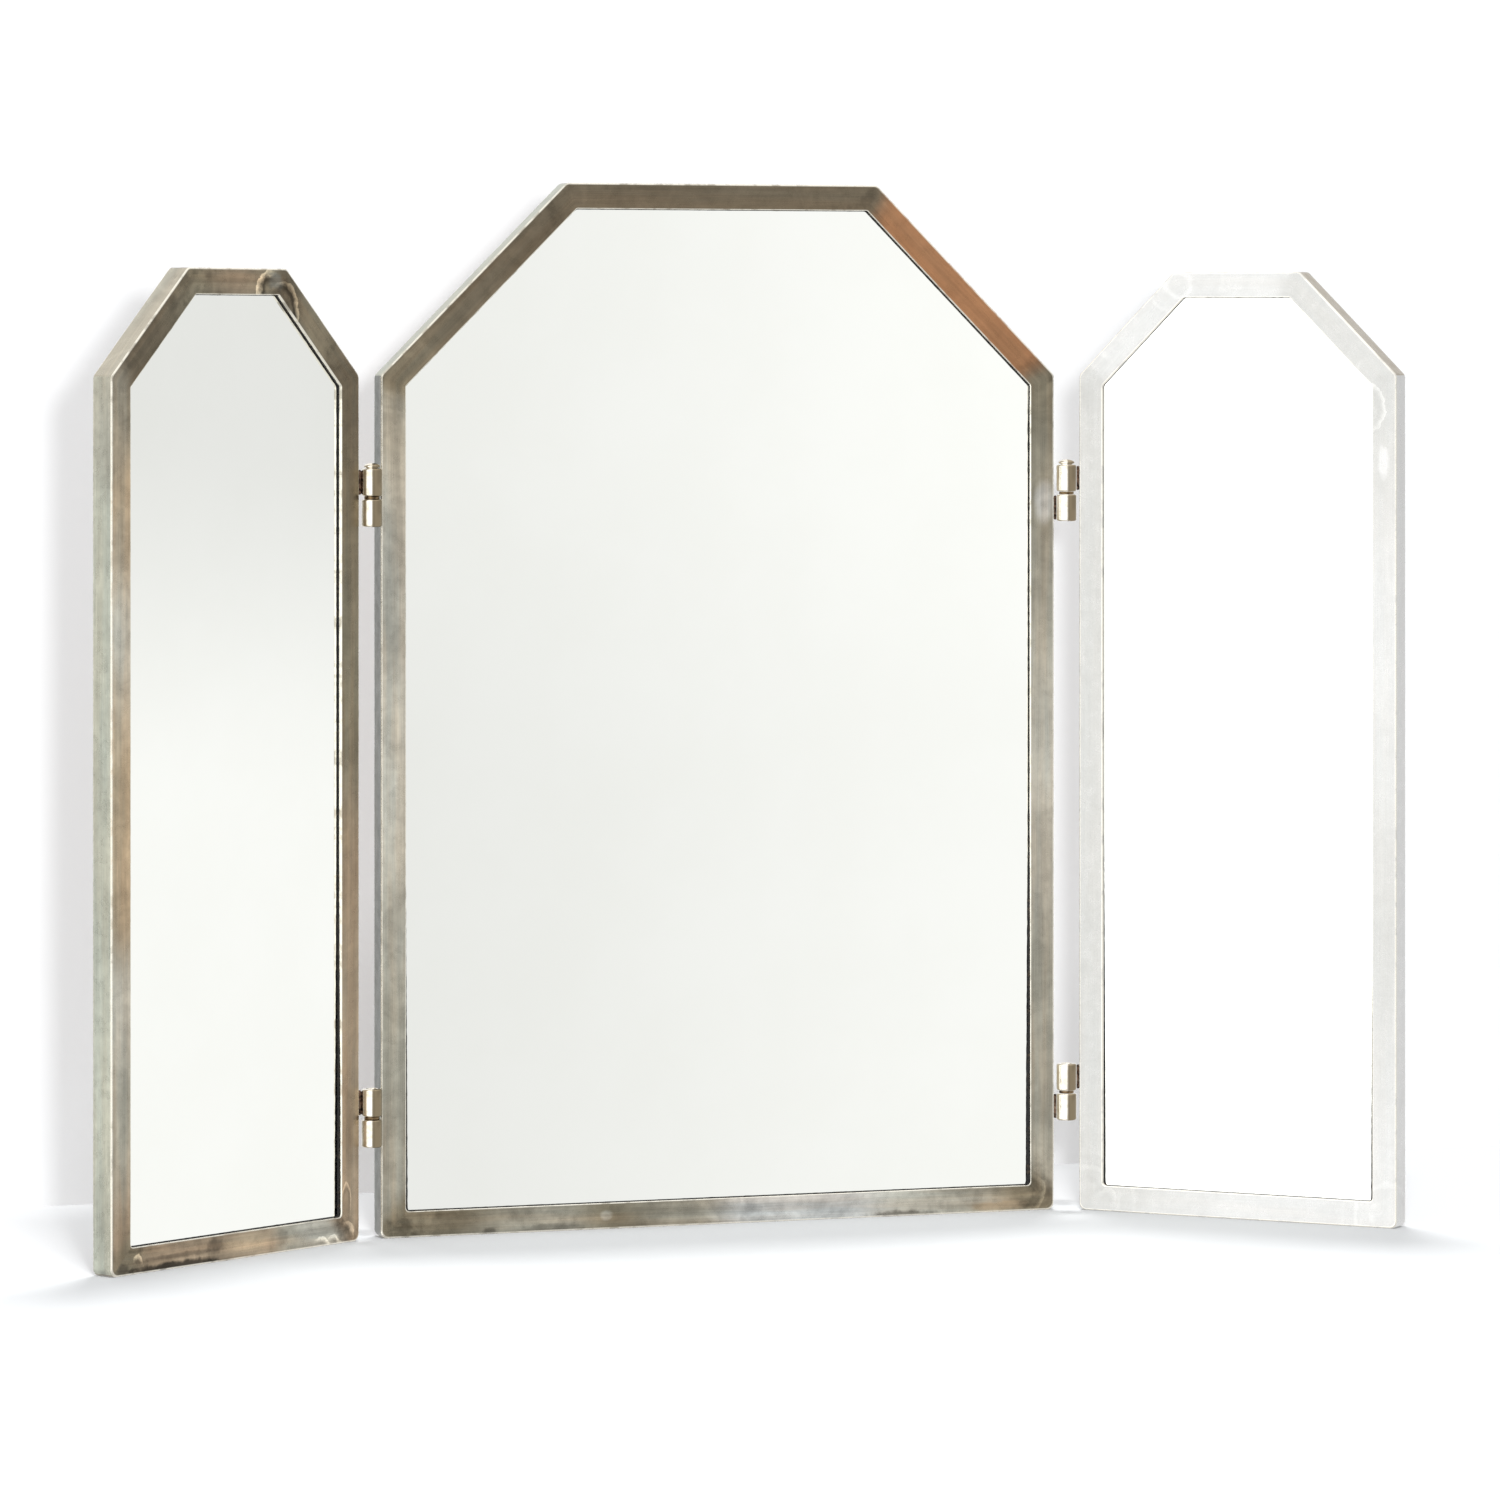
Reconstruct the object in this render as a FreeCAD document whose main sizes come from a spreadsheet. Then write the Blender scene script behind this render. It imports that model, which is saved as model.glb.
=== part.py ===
import FreeCAD, Part
import os
import re
import Sketcher
from FreeCAD import Placement, Rotation, Vector

# Trifold mirror: three chamfered panels of mitred angle bar, joined by four weld-on barrel hinges.
# X runs across the centre panel, Y points to its back and Z points up. The origin is the middle of
# the centre panel's underside. Both wings are folded forward by the angles in the sheet.

SIZES = [
    # alias, millimetres or degrees, what it is
    ("shoulderHeight", 622, "foot of the frames to where the chamfers start, the same on all panels"),
    ("centreWidth", 520, "centre panel, outside"),
    ("centreChamfer", 140, "rise and run of the centre panel's 45 degree chamfers"),
    ("wingChamfer", 76, "rise and run of the wings' 45 degree chamfers"),
    ("meetingGap", 16, "between the wings' free edges when both are closed"),
    ("barFace", 19, "angle bar, front leg"),
    ("barDepth", 19, "angle bar, side leg"),
    ("barWall", 3.2, "angle bar, thickness of both legs"),
    ("cornerRound", 5, "ground outer corners of a frame"),
    ("openingRound", 3, "ground corners of a frame's opening"),
    ("edgeChamfer", 0.8, "ground outer edges of the bar"),
    ("lipChamfer", 0.5, "front edge of the opening"),
    ("mitreMargin", 3, "how far the mitre sectors reach past the bar"),
    ("glassThickness", 4, "mirror pane"),
    ("glassClearance", 1, "pane, pad and board to the side legs"),
    ("padThickness", 1, "foam pad between pane and board"),
    ("boardThickness", 4, "backing board"),
    ("tabLength", 16, "retaining tab, along the bar"),
    ("tabReach", 12, "retaining tab, out from the side leg"),
    ("tabThickness", 1.5, "retaining tab"),
    ("tabCorner", 3, "retaining tab, clipped free corners"),
    ("tabInset", 140, "stile tabs to the foot and to the shoulder"),
    ("railTabOffset", 120, "bottom rail tabs to the middle of the centre panel"),
    ("panelGap", 16, "between the side faces of two panels when they are opened flat"),
    ("hingeForward", 4.5, "hinge axis in front of the frames' front faces"),
    ("hingeInset", 88, "hinge washers to the foot and to the shoulder"),
    ("barrelClearance", 0.5, "knuckle to the side faces of the frames"),
    ("knuckleLength", 20, "each hinge knuckle"),
    ("washerRadius", 5.5, "hinge washer"),
    ("washerThickness", 2, "hinge washer"),
    ("axialPlay", 0.1, "washer to the wing's knuckle"),
    ("pinRadius", 4, "hinge pin"),
    ("pinTightPlay", 0.02, "pin to the centre panel's knuckle, on the radius"),
    ("pinRunningPlay", 0.08, "pin to the wing's knuckle and washer, on the radius"),
    ("pinRecess", 0.5, "pin's plain end inside the knuckle's end"),
    ("pinHeadRadius", 6.2, "crowned head of the upper pins"),
    ("pinHeadHeight", 3.8, "crowned head of the upper pins"),
    ("pinHeadRim", 1.2, "crowned head, straight part of its side"),
    ("pinShoulderRadius", 5.2, "crowned head, where the crown flattens"),
    ("pinShoulderHeight", 2.8, "crowned head, where the crown flattens"),
    ("pinCrownRadius", 3, "crowned head, flat top"),
    ("pinHeadPlay", 0.2, "crowned head to the knuckle under it"),
    ("weldRadius", 2.2, "weld bead between knuckle and frame"),
    ("weldInset", 2, "weld bead's end to the knuckle's end"),
    ("hangerLeg", 80, "hanger plate, along the stile and along the chamfer"),
    ("hangerThickness", 2, "hanger plate"),
    ("keyholeRadius", 5, "round entry of the keyhole"),
    ("keyholeSlot", 2.5, "half the width of the keyhole's slot"),
    ("keyholeRise", 11, "entry to the slot's end, upwards"),
    ("keyholeIn", 15, "keyhole to the stile's side leg"),
    ("keyholeDrop", 6, "entry below the inner shoulder corner"),
    ("leftFoldAngle", 32, "left wing, folded forward from flat, degrees"),
    ("rightFoldAngle", 45, "right wing, folded forward from flat, degrees"),
]

TOUCH = 1e-3  # two places closer than this are the same place

doc = FreeCAD.newDocument("trifold_mirror")
sheet = doc.addObject("Spreadsheet::Sheet", "Sizes")
for row, (alias, size, note) in enumerate(SIZES, start=1):
    sheet.set("A%d" % row, alias)
    sheet.set("B%d" % row, str(size))
    sheet.setAlias("B%d" % row, alias)
    sheet.set("C%d" % row, note)
doc.recompute()

nodes = []


def in_sheet(text):
    """The expression with each alias turned into a reference to its cell."""
    return re.sub(r"\b([a-z]+[A-Z]\w*)", r"Sizes.\1", text)


def value(text):
    return float(sheet.evalExpression(in_sheet(text)))


def bind(thing, target, text):
    thing.setExpression(target, in_sheet(text))


def move_to(thing, x="0", y="0", z="0"):
    for letter, text in zip("xyz", (x, y, z)):
        bind(thing, "Placement.Base." + letter, text)


# Sizes that follow from the ones in the sheet
WING_WIDTH = "((centreWidth - meetingGap) / 2)"
HINGE_X = "((centreWidth + panelGap) / 2)"
HINGE_Y = "(-barDepth / 2 - hingeForward)"
BARREL_RADIUS = "(panelGap / 2 - barrelClearance)"
BOARD_FRONT = "(barWall + glassThickness + padThickness)"
BOARD_BACK = "(%s + boardThickness)" % BOARD_FRONT
MITRE = "tan(22.5 deg)"

# The wings are drawn about their own hinge axis, opened flat, and then folded.
PANELS = {
    "centre": {
        "left": "(-centreWidth / 2)",
        "right": "(centreWidth / 2)",
        "chamfer": "centreChamfer",
        "front": "(-barDepth / 2)",
        "sides": ("left", "right"),
        "fold": None,
    },
    "left_wing": {
        "left": "(-panelGap / 2 - %s)" % WING_WIDTH,
        "right": "(-panelGap / 2)",
        "chamfer": "wingChamfer",
        "front": "hingeForward",
        "sides": ("outer", "inner"),
        "fold": ("-" + HINGE_X, "leftFoldAngle"),
    },
    "right_wing": {
        "left": "(panelGap / 2)",
        "right": "(panelGap / 2 + %s)" % WING_WIDTH,
        "chamfer": "wingChamfer",
        "front": "hingeForward",
        "sides": ("inner", "outer"),
        "fold": (HINGE_X, "-rightFoldAngle"),
    },
}


def finish(thing, label, panel):
    """Names a finished piece and folds it with its panel."""
    thing.Label = label
    if panel["fold"]:
        x, angle = panel["fold"]
        thing.Placement = Placement(Vector(0, 0, 0), Rotation(Vector(0, 0, 1), 1))  # sets the axis
        move_to(thing, x, HINGE_Y)
        bind(thing, "Placement.Rotation.Angle", angle)
    nodes.append(thing)
    return thing


def new_body(name):
    return doc.addObject("PartDesign::Body", name)


def profile(body, name, points, depth="0"):
    """A closed outline, through pairs of expressions, on a plane that lies depth behind the body's XZ."""
    plane = next(f for f in body.Origin.OriginFeatures if f.Role == "XZ_Plane")
    sketch = body.newObject("Sketcher::SketchObject", name)
    sketch.AttachmentSupport = [(plane, "")]
    sketch.MapMode = "FlatFace"
    bind(sketch, "AttachmentOffset.Base.z", "-(%s)" % depth)
    corners = [Vector(value(x), value(z), 0) for x, z in points]
    count = len(corners)
    for i in range(count):
        sketch.addGeometry(Part.LineSegment(corners[i], corners[(i + 1) % count]), False)
    for i in range(count):
        sketch.addConstraint(Sketcher.Constraint("Coincident", i, 2, (i + 1) % count, 1))
    for i, (x, z) in enumerate(points):
        for kind, text in (("DistanceX", x), ("DistanceY", z)):
            index = sketch.addConstraint(Sketcher.Constraint(kind, -1, 1, i, 1, value(text)))
            bind(sketch, "Constraints[%d]" % index, text)
    return sketch


def pad(body, name, sketch, length):
    feature = body.newObject("PartDesign::Pad", name)
    feature.Profile = sketch
    feature.Reversed = True
    bind(feature, "Length", length)
    doc.recompute()
    return feature


def pocket(body, name, sketch, length):
    before = body.Shape.Volume
    feature = body.newObject("PartDesign::Pocket", name)
    feature.Profile = sketch
    bind(feature, "Length", length)
    doc.recompute()
    if body.Shape.Volume >= before:
        raise RuntimeError(name + " cuts nothing")
    return feature


def revolve(body, name, sketch):
    feature = body.newObject("PartDesign::Revolution", name)
    feature.Profile = sketch
    feature.ReferenceAxis = (sketch, ["V_Axis"])
    feature.Angle = 360
    doc.recompute()
    return feature


def ease(body, kind, name, base, size, wanted):
    """A Fillet or a Chamfer on the edges of base for which wanted(edge) is true."""
    edges = ["Edge%d" % n for n, edge in enumerate(base.Shape.Edges, start=1) if wanted(edge)]
    feature = body.newObject("PartDesign::" + kind, name)
    feature.Base = (base, edges)
    bind(feature, "Radius" if kind == "Fillet" else "Size", size)
    doc.recompute()
    return feature


def along_depth(edge):
    bounds = edge.BoundBox
    return bounds.YLength > TOUCH and max(bounds.XLength, bounds.ZLength) < TOUCH


def at_depth(edge, depth):
    return max(abs(edge.BoundBox.YMin - depth), abs(edge.BoundBox.YMax - depth)) < TOUCH


def boolean(kind, name, base, tool):
    result = doc.addObject("Part::" + kind, name)
    result.Base = base
    result.Tool = tool
    return result


def gather(kind, name, things):
    """A Compound keeps its members apart, a MultiFuse joins those that touch."""
    result = doc.addObject("Part::" + kind, name)
    setattr(result, "Links" if kind == "Compound" else "Shapes", things)
    return result


def cylinder(name, radius, length, x, y, z, along_y=False):
    thing = doc.addObject("Part::Cylinder", name)
    if along_y:
        thing.Placement = Placement(Vector(0, 0, 0), Rotation(Vector(1, 0, 0), -90))
    bind(thing, "Radius", radius)
    bind(thing, "Height", length)
    move_to(thing, x, y, z)
    return thing


def box(name, size, corner):
    thing = doc.addObject("Part::Box", name)
    for target, text in zip(("Length", "Width", "Height"), size):
        bind(thing, target, text)
    move_to(thing, *corner)
    return thing


def corners(panel, inset):
    """The panel's six corners, moved in from the outline by inset, counter-clockwise from its left foot."""
    left = "%s + (%s)" % (panel["left"], inset)
    right = "%s - (%s)" % (panel["right"], inset)
    shoulder = "shoulderHeight - (%s) * %s" % (inset, MITRE)
    top = "shoulderHeight + %s - (%s)" % (panel["chamfer"], inset)
    top_left = "%s + %s + (%s) * %s" % (panel["left"], panel["chamfer"], inset, MITRE)
    top_right = "%s - %s - (%s) * %s" % (panel["right"], panel["chamfer"], inset, MITRE)
    return [(left, inset), (right, inset), (right, shoulder),
            (top_right, top), (top_left, top), (left, shoulder)]


def frame_ring(prefix, panel):
    """The whole welded frame, before it is divided into its bars."""
    body = new_body(prefix + "_ring")
    front, back = value(panel["front"]), value(panel["front"] + " + barDepth")
    low_x, high_x = value(panel["left"] + " + barFace"), value(panel["right"] + " - barFace")
    low_z, high_z = value("barFace"), value("shoulderHeight + %s - barFace" % panel["chamfer"])

    def in_opening(edge):
        bounds = edge.BoundBox
        across = low_x - TOUCH < bounds.XMin and bounds.XMax < high_x + TOUCH
        return across and low_z - TOUCH < bounds.ZMin and bounds.ZMax < high_z + TOUCH

    outside = profile(body, prefix + "_outside", corners(panel, "0"), panel["front"])
    solid = pad(body, prefix + "_outline", outside, "barDepth")
    solid = ease(body, "Fillet", prefix + "_corners", solid, "cornerRound", along_depth)
    ease(body, "Chamfer", prefix + "_edges", solid, "edgeChamfer",
         lambda edge: at_depth(edge, front) or at_depth(edge, back))
    opening = profile(body, prefix + "_opening", corners(panel, "barFace"), panel["front"])
    solid = pocket(body, prefix + "_opening_cut", opening, "barDepth")
    solid = ease(body, "Fillet", prefix + "_opening_corners", solid, "openingRound",
                 lambda edge: along_depth(edge) and in_opening(edge))
    ease(body, "Chamfer", prefix + "_lip", solid, "lipChamfer",
         lambda edge: at_depth(edge, front) and in_opening(edge))
    rebate = profile(body, prefix + "_rebate", corners(panel, "barWall"), panel["front"] + " + barWall")
    pocket(body, prefix + "_rebate_cut", rebate, "barDepth")
    return body


def frame_bars(prefix, panel, ring):
    """Divides the ring on its mitre lines into the six bars that are welded together."""
    low, high = panel["sides"]
    bars = ("bottom_rail", high + "_stile", high + "_chamfer_rail", "top_rail", low + "_chamfer_rail",
            low + "_stile")
    outer, inner = corners(panel, "-mitreMargin"), corners(panel, "barFace + mitreMargin")
    for i, bar in enumerate(bars):
        name = "%s_%s" % (prefix, bar)
        following = (i + 1) % len(bars)
        sector = new_body(name + "_sector")
        outline = profile(sector, name + "_mitres", [outer[i], outer[following], inner[following], inner[i]],
                          panel["front"] + " - mitreMargin")
        pad(sector, name + "_block", outline, "barDepth + 2 * mitreMargin")
        finish(boolean("Common", name + "_bar", ring, sector), name, panel)


def sheet_piece(prefix, name, panel, depth, thickness):
    """A flat piece that fills the frame's rebate: a pane, a pad or a board."""
    body = new_body("%s_%s_body" % (prefix, name))
    outline = profile(body, "%s_%s_outline" % (prefix, name), corners(panel, "barWall + glassClearance"),
                      "%s + %s" % (panel["front"], depth))
    pad(body, "%s_%s_sheet" % (prefix, name), outline, thickness)
    return body


def tab_stations(prefix, panel):
    """The middle of each retaining tab's root on its side leg, and the way the tab points from there."""
    left_leg, right_leg = panel["left"] + " + barWall", panel["right"] + " - barWall"
    for height in ("tabInset", "shoulderHeight - tabInset"):
        yield (left_leg, height), (1, 0)
        yield (right_leg, height), (-1, 0)
    middle = "(%s + %s) / 2" % (panel["left"], panel["right"])
    offsets = (" - railTabOffset", " + railTabOffset") if prefix == "centre" else ("",)
    for offset in offsets:
        yield (middle + offset, "barWall"), (0, 1)
    yield (middle, "shoulderHeight + %s - barWall" % panel["chamfer"]), (0, -1)


def tab_outline(root, out):
    """Square at the welded root, with clipped corners at the free end."""
    half, clipped = "tabLength / 2", "tabLength / 2 - tabCorner"
    shape = [("-(%s)" % half, "0"), (half, "0"), (half, "tabReach - tabCorner"), (clipped, "tabReach"),
             ("-(%s)" % clipped, "tabReach"), ("-(%s)" % half, "tabReach - tabCorner")]
    (x, z), (out_x, out_z) = root, out
    return [("%s + (%s) * %d + (%s) * %d" % (x, side, out_z, reach, out_x),
             "%s - (%s) * %d + (%s) * %d" % (z, side, out_x, reach, out_z)) for side, reach in shape]


def glazing(prefix, panel):
    """The pane, its pad and board, and the welded tabs that hold them in."""
    layers = (("mirror_glass", "barWall", "glassThickness"),
              ("glazing_pad", "barWall + glassThickness", "padThickness"),
              ("backing_board", BOARD_FRONT, "boardThickness"))
    for name, depth, thickness in layers:
        finish(sheet_piece(prefix, name, panel, depth, thickness), "%s_%s" % (prefix, name), panel)
    tabs = []
    for n, (root, out) in enumerate(tab_stations(prefix, panel), start=1):
        body = new_body("%s_tab_%d" % (prefix, n))
        outline = profile(body, "%s_tab_outline_%d" % (prefix, n), tab_outline(root, out),
                          "%s + %s" % (panel["front"], BOARD_BACK))
        pad(body, "%s_tab_plate_%d" % (prefix, n), outline, "tabThickness")
        tabs.append(body)
    finish(gather("Compound", prefix + "_tab_set", tabs), prefix + "_retaining_tabs", panel)


def barrel(name, play, x, y, z):
    """A hinge knuckle's plain tube."""
    body = new_body(name + "_barrel")
    bore = "pinRadius + " + play
    outline = [(bore, "0"), (BARREL_RADIUS, "0"), (BARREL_RADIUS, "knuckleLength"), (bore, "knuckleLength")]
    revolve(body, name + "_turned", profile(body, name + "_section", outline))
    move_to(body, x, y, z)
    return body


def knuckle(name, play, toward, ring, x, y, z):
    """A knuckle with the bead that welds it to the front corner of its frame.

    toward is the side, + or -, on which the frame lies, seen from the hinge axis.
    """
    corner = "hypot(panelGap / 2; hingeForward)"
    share = "(%s + %s) / 2 / %s" % (BARREL_RADIUS, corner, corner)
    bead_x = "%s %s panelGap / 2 * %s" % (x, toward, share)
    bead_y = "%s + hingeForward * %s" % (y, share)
    bead = cylinder(name + "_bead", "weldRadius", "knuckleLength - 2 * weldInset", bead_x, bead_y,
                    z + " + weldInset")
    welded = gather("MultiFuse", name + "_welded", [barrel(name, play, x, y, z), bead])
    return boolean("Cut", name + "_knuckle", welded, ring)


def hinge_pin(name, headed, x, y, z):
    """A pin about its washer's middle. The upper pins are dropped in from above and have a crowned head."""
    body = new_body(name + "_body")
    foot = "-washerThickness / 2 - knuckleLength + pinRecess"
    knuckle_top = "washerThickness / 2 + axialPlay + knuckleLength"
    if headed:
        seat = knuckle_top + " + pinHeadPlay"
        outline = [("0", foot), ("pinRadius", foot), ("pinRadius", seat), ("pinHeadRadius", seat),
                   ("pinHeadRadius", seat + " + pinHeadRim"),
                   ("pinShoulderRadius", seat + " + pinShoulderHeight"),
                   ("pinCrownRadius", seat + " + pinHeadHeight"), ("0", seat + " + pinHeadHeight")]
    else:
        head = knuckle_top + " - pinRecess"
        outline = [("0", foot), ("pinRadius", foot), ("pinRadius", head), ("0", head)]
    revolve(body, name + "_turned", profile(body, name + "_section", outline))
    move_to(body, x, y, z)
    return body


def hinges(rings):
    centre = PANELS["centre"]
    for side, sign, inward in (("left", "-", "+"), ("right", "+", "-")):
        wing = PANELS[side + "_wing"]
        x = "0 %s %s" % (sign, HINGE_X)
        for level, middle in (("lower", "hingeInset"), ("upper", "shoulderHeight - hingeInset")):
            name = "%s_%s_hinge" % (side, level)
            under = middle + " - washerThickness / 2 - knuckleLength"
            over = middle + " + washerThickness / 2 + axialPlay"
            finish(knuckle(name + "_frame", "pinTightPlay", inward, rings["centre"], x, HINGE_Y, under),
                   name + "_frame_knuckle", centre)
            finish(knuckle(name + "_wing", "pinRunningPlay", sign, rings[side + "_wing"], "0", "0", over),
                   name + "_wing_knuckle", wing)
            finish(hinge_pin(name + "_pin", level == "upper", x, HINGE_Y, middle), name + "_pin", centre)
            at = (x, HINGE_Y, middle + " - washerThickness / 2")
            disc = cylinder(name + "_disc", "washerRadius", "washerThickness", *at)
            hole = cylinder(name + "_disc_hole", "pinRadius + pinRunningPlay", "washerThickness", *at)
            finish(boolean("Cut", name + "_ring", disc, hole), name + "_washer", centre)


def hanger_plates():
    """Gussets across the centre frame's shoulder corners, each with a keyhole for a wall screw."""
    centre = PANELS["centre"]
    front = "barDepth / 2 - hangerThickness"
    run = "hangerLeg * cos(45 deg)"
    corner_z = "(shoulderHeight - barWall * %s)" % MITRE
    for side, sign, inward in (("left", "-", "+"), ("right", "+", "-")):
        name = side + "_hanger_plate"
        leg_x = "0 %s (centreWidth / 2 - barWall)" % sign
        outline = [(leg_x, corner_z + " - hangerLeg"), (leg_x, corner_z),
                   ("%s %s %s" % (leg_x, inward, run), "%s + %s" % (corner_z, run))]
        body = new_body(name + "_body")
        pad(body, name + "_gusset", profile(body, name + "_outline", outline, front), "hangerThickness")
        x = "%s %s keyholeIn" % (leg_x, inward)
        z = corner_z + " - keyholeDrop"
        entry = cylinder(name + "_entry", "keyholeRadius", "hangerThickness", x, front, z, True)
        slot_end = cylinder(name + "_slot_end", "keyholeSlot", "hangerThickness", x, front,
                            z + " + keyholeRise", True)
        slot = box(name + "_slot", ("2 * keyholeSlot", "hangerThickness", "keyholeRise"),
                   (x + " - keyholeSlot", front, z))
        keyhole = gather("MultiFuse", name + "_keyhole", [entry, slot, slot_end])
        finish(boolean("Cut", name + "_cut", body, keyhole), name, centre)


def export():
    """Checks every object and every finished piece, then writes one STEP file for each piece."""
    doc.recompute()
    for thing in doc.Objects:
        if {"Invalid", "Error"} & set(thing.State):
            raise RuntimeError("%s failed: %s" % (thing.Name, thing.State))
    for node in nodes:
        if node.Shape.isNull() or not node.Shape.isValid() or not node.Shape.Solids:
            raise RuntimeError(node.Label + " has no valid solid")
    os.makedirs("parts", exist_ok=True)
    for node in nodes:
        node.Shape.exportStep("parts/%s.step" % node.Label)
        print("%-36s %d solids %10.1f mm3" % (node.Label, len(node.Shape.Solids), node.Shape.Volume))


rings = {prefix: frame_ring(prefix, panel) for prefix, panel in PANELS.items()}
for prefix, panel in PANELS.items():
    frame_bars(prefix, panel, rings[prefix])
    glazing(prefix, panel)
hinges(rings)
hanger_plates()
export()
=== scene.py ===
from math import atan2, copysign, cos, degrees, hypot, pi, radians, sin, tan

import bmesh
import bpy
from mathutils import Matrix, Vector, noise


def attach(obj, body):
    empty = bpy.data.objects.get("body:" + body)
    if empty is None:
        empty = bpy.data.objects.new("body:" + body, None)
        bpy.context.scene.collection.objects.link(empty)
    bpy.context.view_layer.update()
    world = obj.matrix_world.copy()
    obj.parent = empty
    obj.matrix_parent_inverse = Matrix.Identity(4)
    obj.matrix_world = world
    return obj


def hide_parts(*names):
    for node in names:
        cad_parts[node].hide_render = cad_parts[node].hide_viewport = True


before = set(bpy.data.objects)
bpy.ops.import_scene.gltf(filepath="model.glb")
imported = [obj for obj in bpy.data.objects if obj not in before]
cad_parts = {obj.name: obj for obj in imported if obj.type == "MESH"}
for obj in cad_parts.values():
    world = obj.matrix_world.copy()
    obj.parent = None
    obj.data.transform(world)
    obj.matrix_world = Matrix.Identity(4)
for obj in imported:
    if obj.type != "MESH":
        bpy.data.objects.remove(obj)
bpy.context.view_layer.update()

# Trifold vanity mirror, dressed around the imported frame. Pieces are given in millimetres and degrees,
# the lengths of finishes in metres. Meshes are written in metres, each piece with its place in it.

mm = 0.001
barWidth, barThickness = 19, 3.2
shoulderHeight = 622
mitreLean = tan(radians(22.5))
hingeLineY = -14
panels = {
    "centre": {"left": -260, "right": 260, "chamfer": 140, "front": -9.5, "hingeX": 0, "fold": 0,
               "sides": ("left", "right"), "seed": 3},
    "left_wing": {"left": -260, "right": -8, "chamfer": 76, "front": 4.5, "hingeX": -268, "fold": 32,
                  "sides": ("outer", "inner"), "seed": 11},
    "right_wing": {"left": 8, "right": 260, "chamfer": 76, "front": 4.5, "hingeX": 268, "fold": -45,
                   "sides": ("inner", "outer"), "seed": 23},
}


def folded(panel, x, y, z):  # from the flat panel to its place, in metres
    if not panel["fold"]:
        return Vector((x, y, z)) * mm
    turn = radians(panel["fold"])
    return Vector((panel["hingeX"] + x * cos(turn) - y * sin(turn),
                   hingeLineY + x * sin(turn) + y * cos(turn), z)) * mm


def isSocket(source):
    return isinstance(source, bpy.types.NodeSocket)


def feed(node, inputs):  # each input takes a link or a value, and a colour needs no alpha
    for key, source in dict(inputs).items():
        socket = node.inputs[key]
        if isSocket(source):
            node.id_data.links.new(source, socket)
        else:
            socket.default_value = (*source[:3], 1) if socket.type == "RGBA" else source
    return node


def addNode(tree, kind, inputs=(), **settings):
    made = tree.nodes.new(kind)
    for key, setting in settings.items():
        setattr(made, key, setting)
    return feed(made, inputs)


def calc(operation, *sources):
    tree = next(source.id_data for source in sources if isSocket(source))
    return addNode(tree, "ShaderNodeMath", enumerate(sources), operation=operation).outputs[0]


def plus(first, second):
    return calc("ADD", first, second)


def less(first, second):
    return calc("SUBTRACT", first, second)


def times(first, second):
    return calc("MULTIPLY", first, second)


def ranged(source, fromLow, fromHigh, toLow=0.0, toHigh=1.0):  # eased and clamped
    return addNode(source.id_data, "ShaderNodeMapRange",
                   enumerate((source, fromLow, fromHigh, toLow, toHigh)),
                   interpolation_type="SMOOTHSTEP").outputs[0]


def blended(factor, first, second, blend="MIX"):
    tree = next(source.id_data for source in (factor, first, second) if isSocket(source))
    return addNode(tree, "ShaderNodeMix", {0: factor, 6: first, 7: second}, data_type="RGBA",
                   blend_type=blend).outputs[2]


def stretched(place, scale):
    return addNode(place.id_data, "ShaderNodeMapping", {"Vector": place, "Scale": scale}).outputs[0]


def clouds(place, scale, detail=3.0, rough=0.55, distortion=0.0):  # one scale, or one each way
    if isinstance(scale, tuple):
        place, scale = stretched(place, scale), 1
    return addNode(place.id_data, "ShaderNodeTexNoise", {
        "Vector": place, "Scale": scale, "Detail": detail, "Roughness": rough,
        "Distortion": distortion}).outputs["Fac"]


def gapTo(place, spot):
    return addNode(place.id_data, "ShaderNodeVectorMath", {0: place, 1: spot},
                   operation="DISTANCE").outputs["Value"]


def bumped(height, strength, distance, under=None):
    made = addNode(height.id_data, "ShaderNodeBump",
                   {"Height": height, "Strength": strength, "Distance": distance})
    return feed(made, {"Normal": under} if under else {}).outputs[0]


def relieve(shader, patterns, reliefs):  # pattern, strength and depth of each, one upon another
    relief = None
    for label, strength, depth in reliefs:
        relief = bumped(patterns[label], strength, depth, relief)
        feed(shader, {"Normal": relief})


def painted(shader, name):  # a value kept in the mesh
    return addNode(shader.id_data, "ShaderNodeAttribute", attribute_name=name).outputs


finishes = {}


def startMaterial(name, inputs):
    material = finishes[name] = bpy.data.materials.new(name)
    material.use_nodes = True
    shader = feed(material.node_tree.nodes["Principled BSDF"], inputs)
    return shader, addNode(material.node_tree, "ShaderNodeTexCoord").outputs["Object"]


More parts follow.
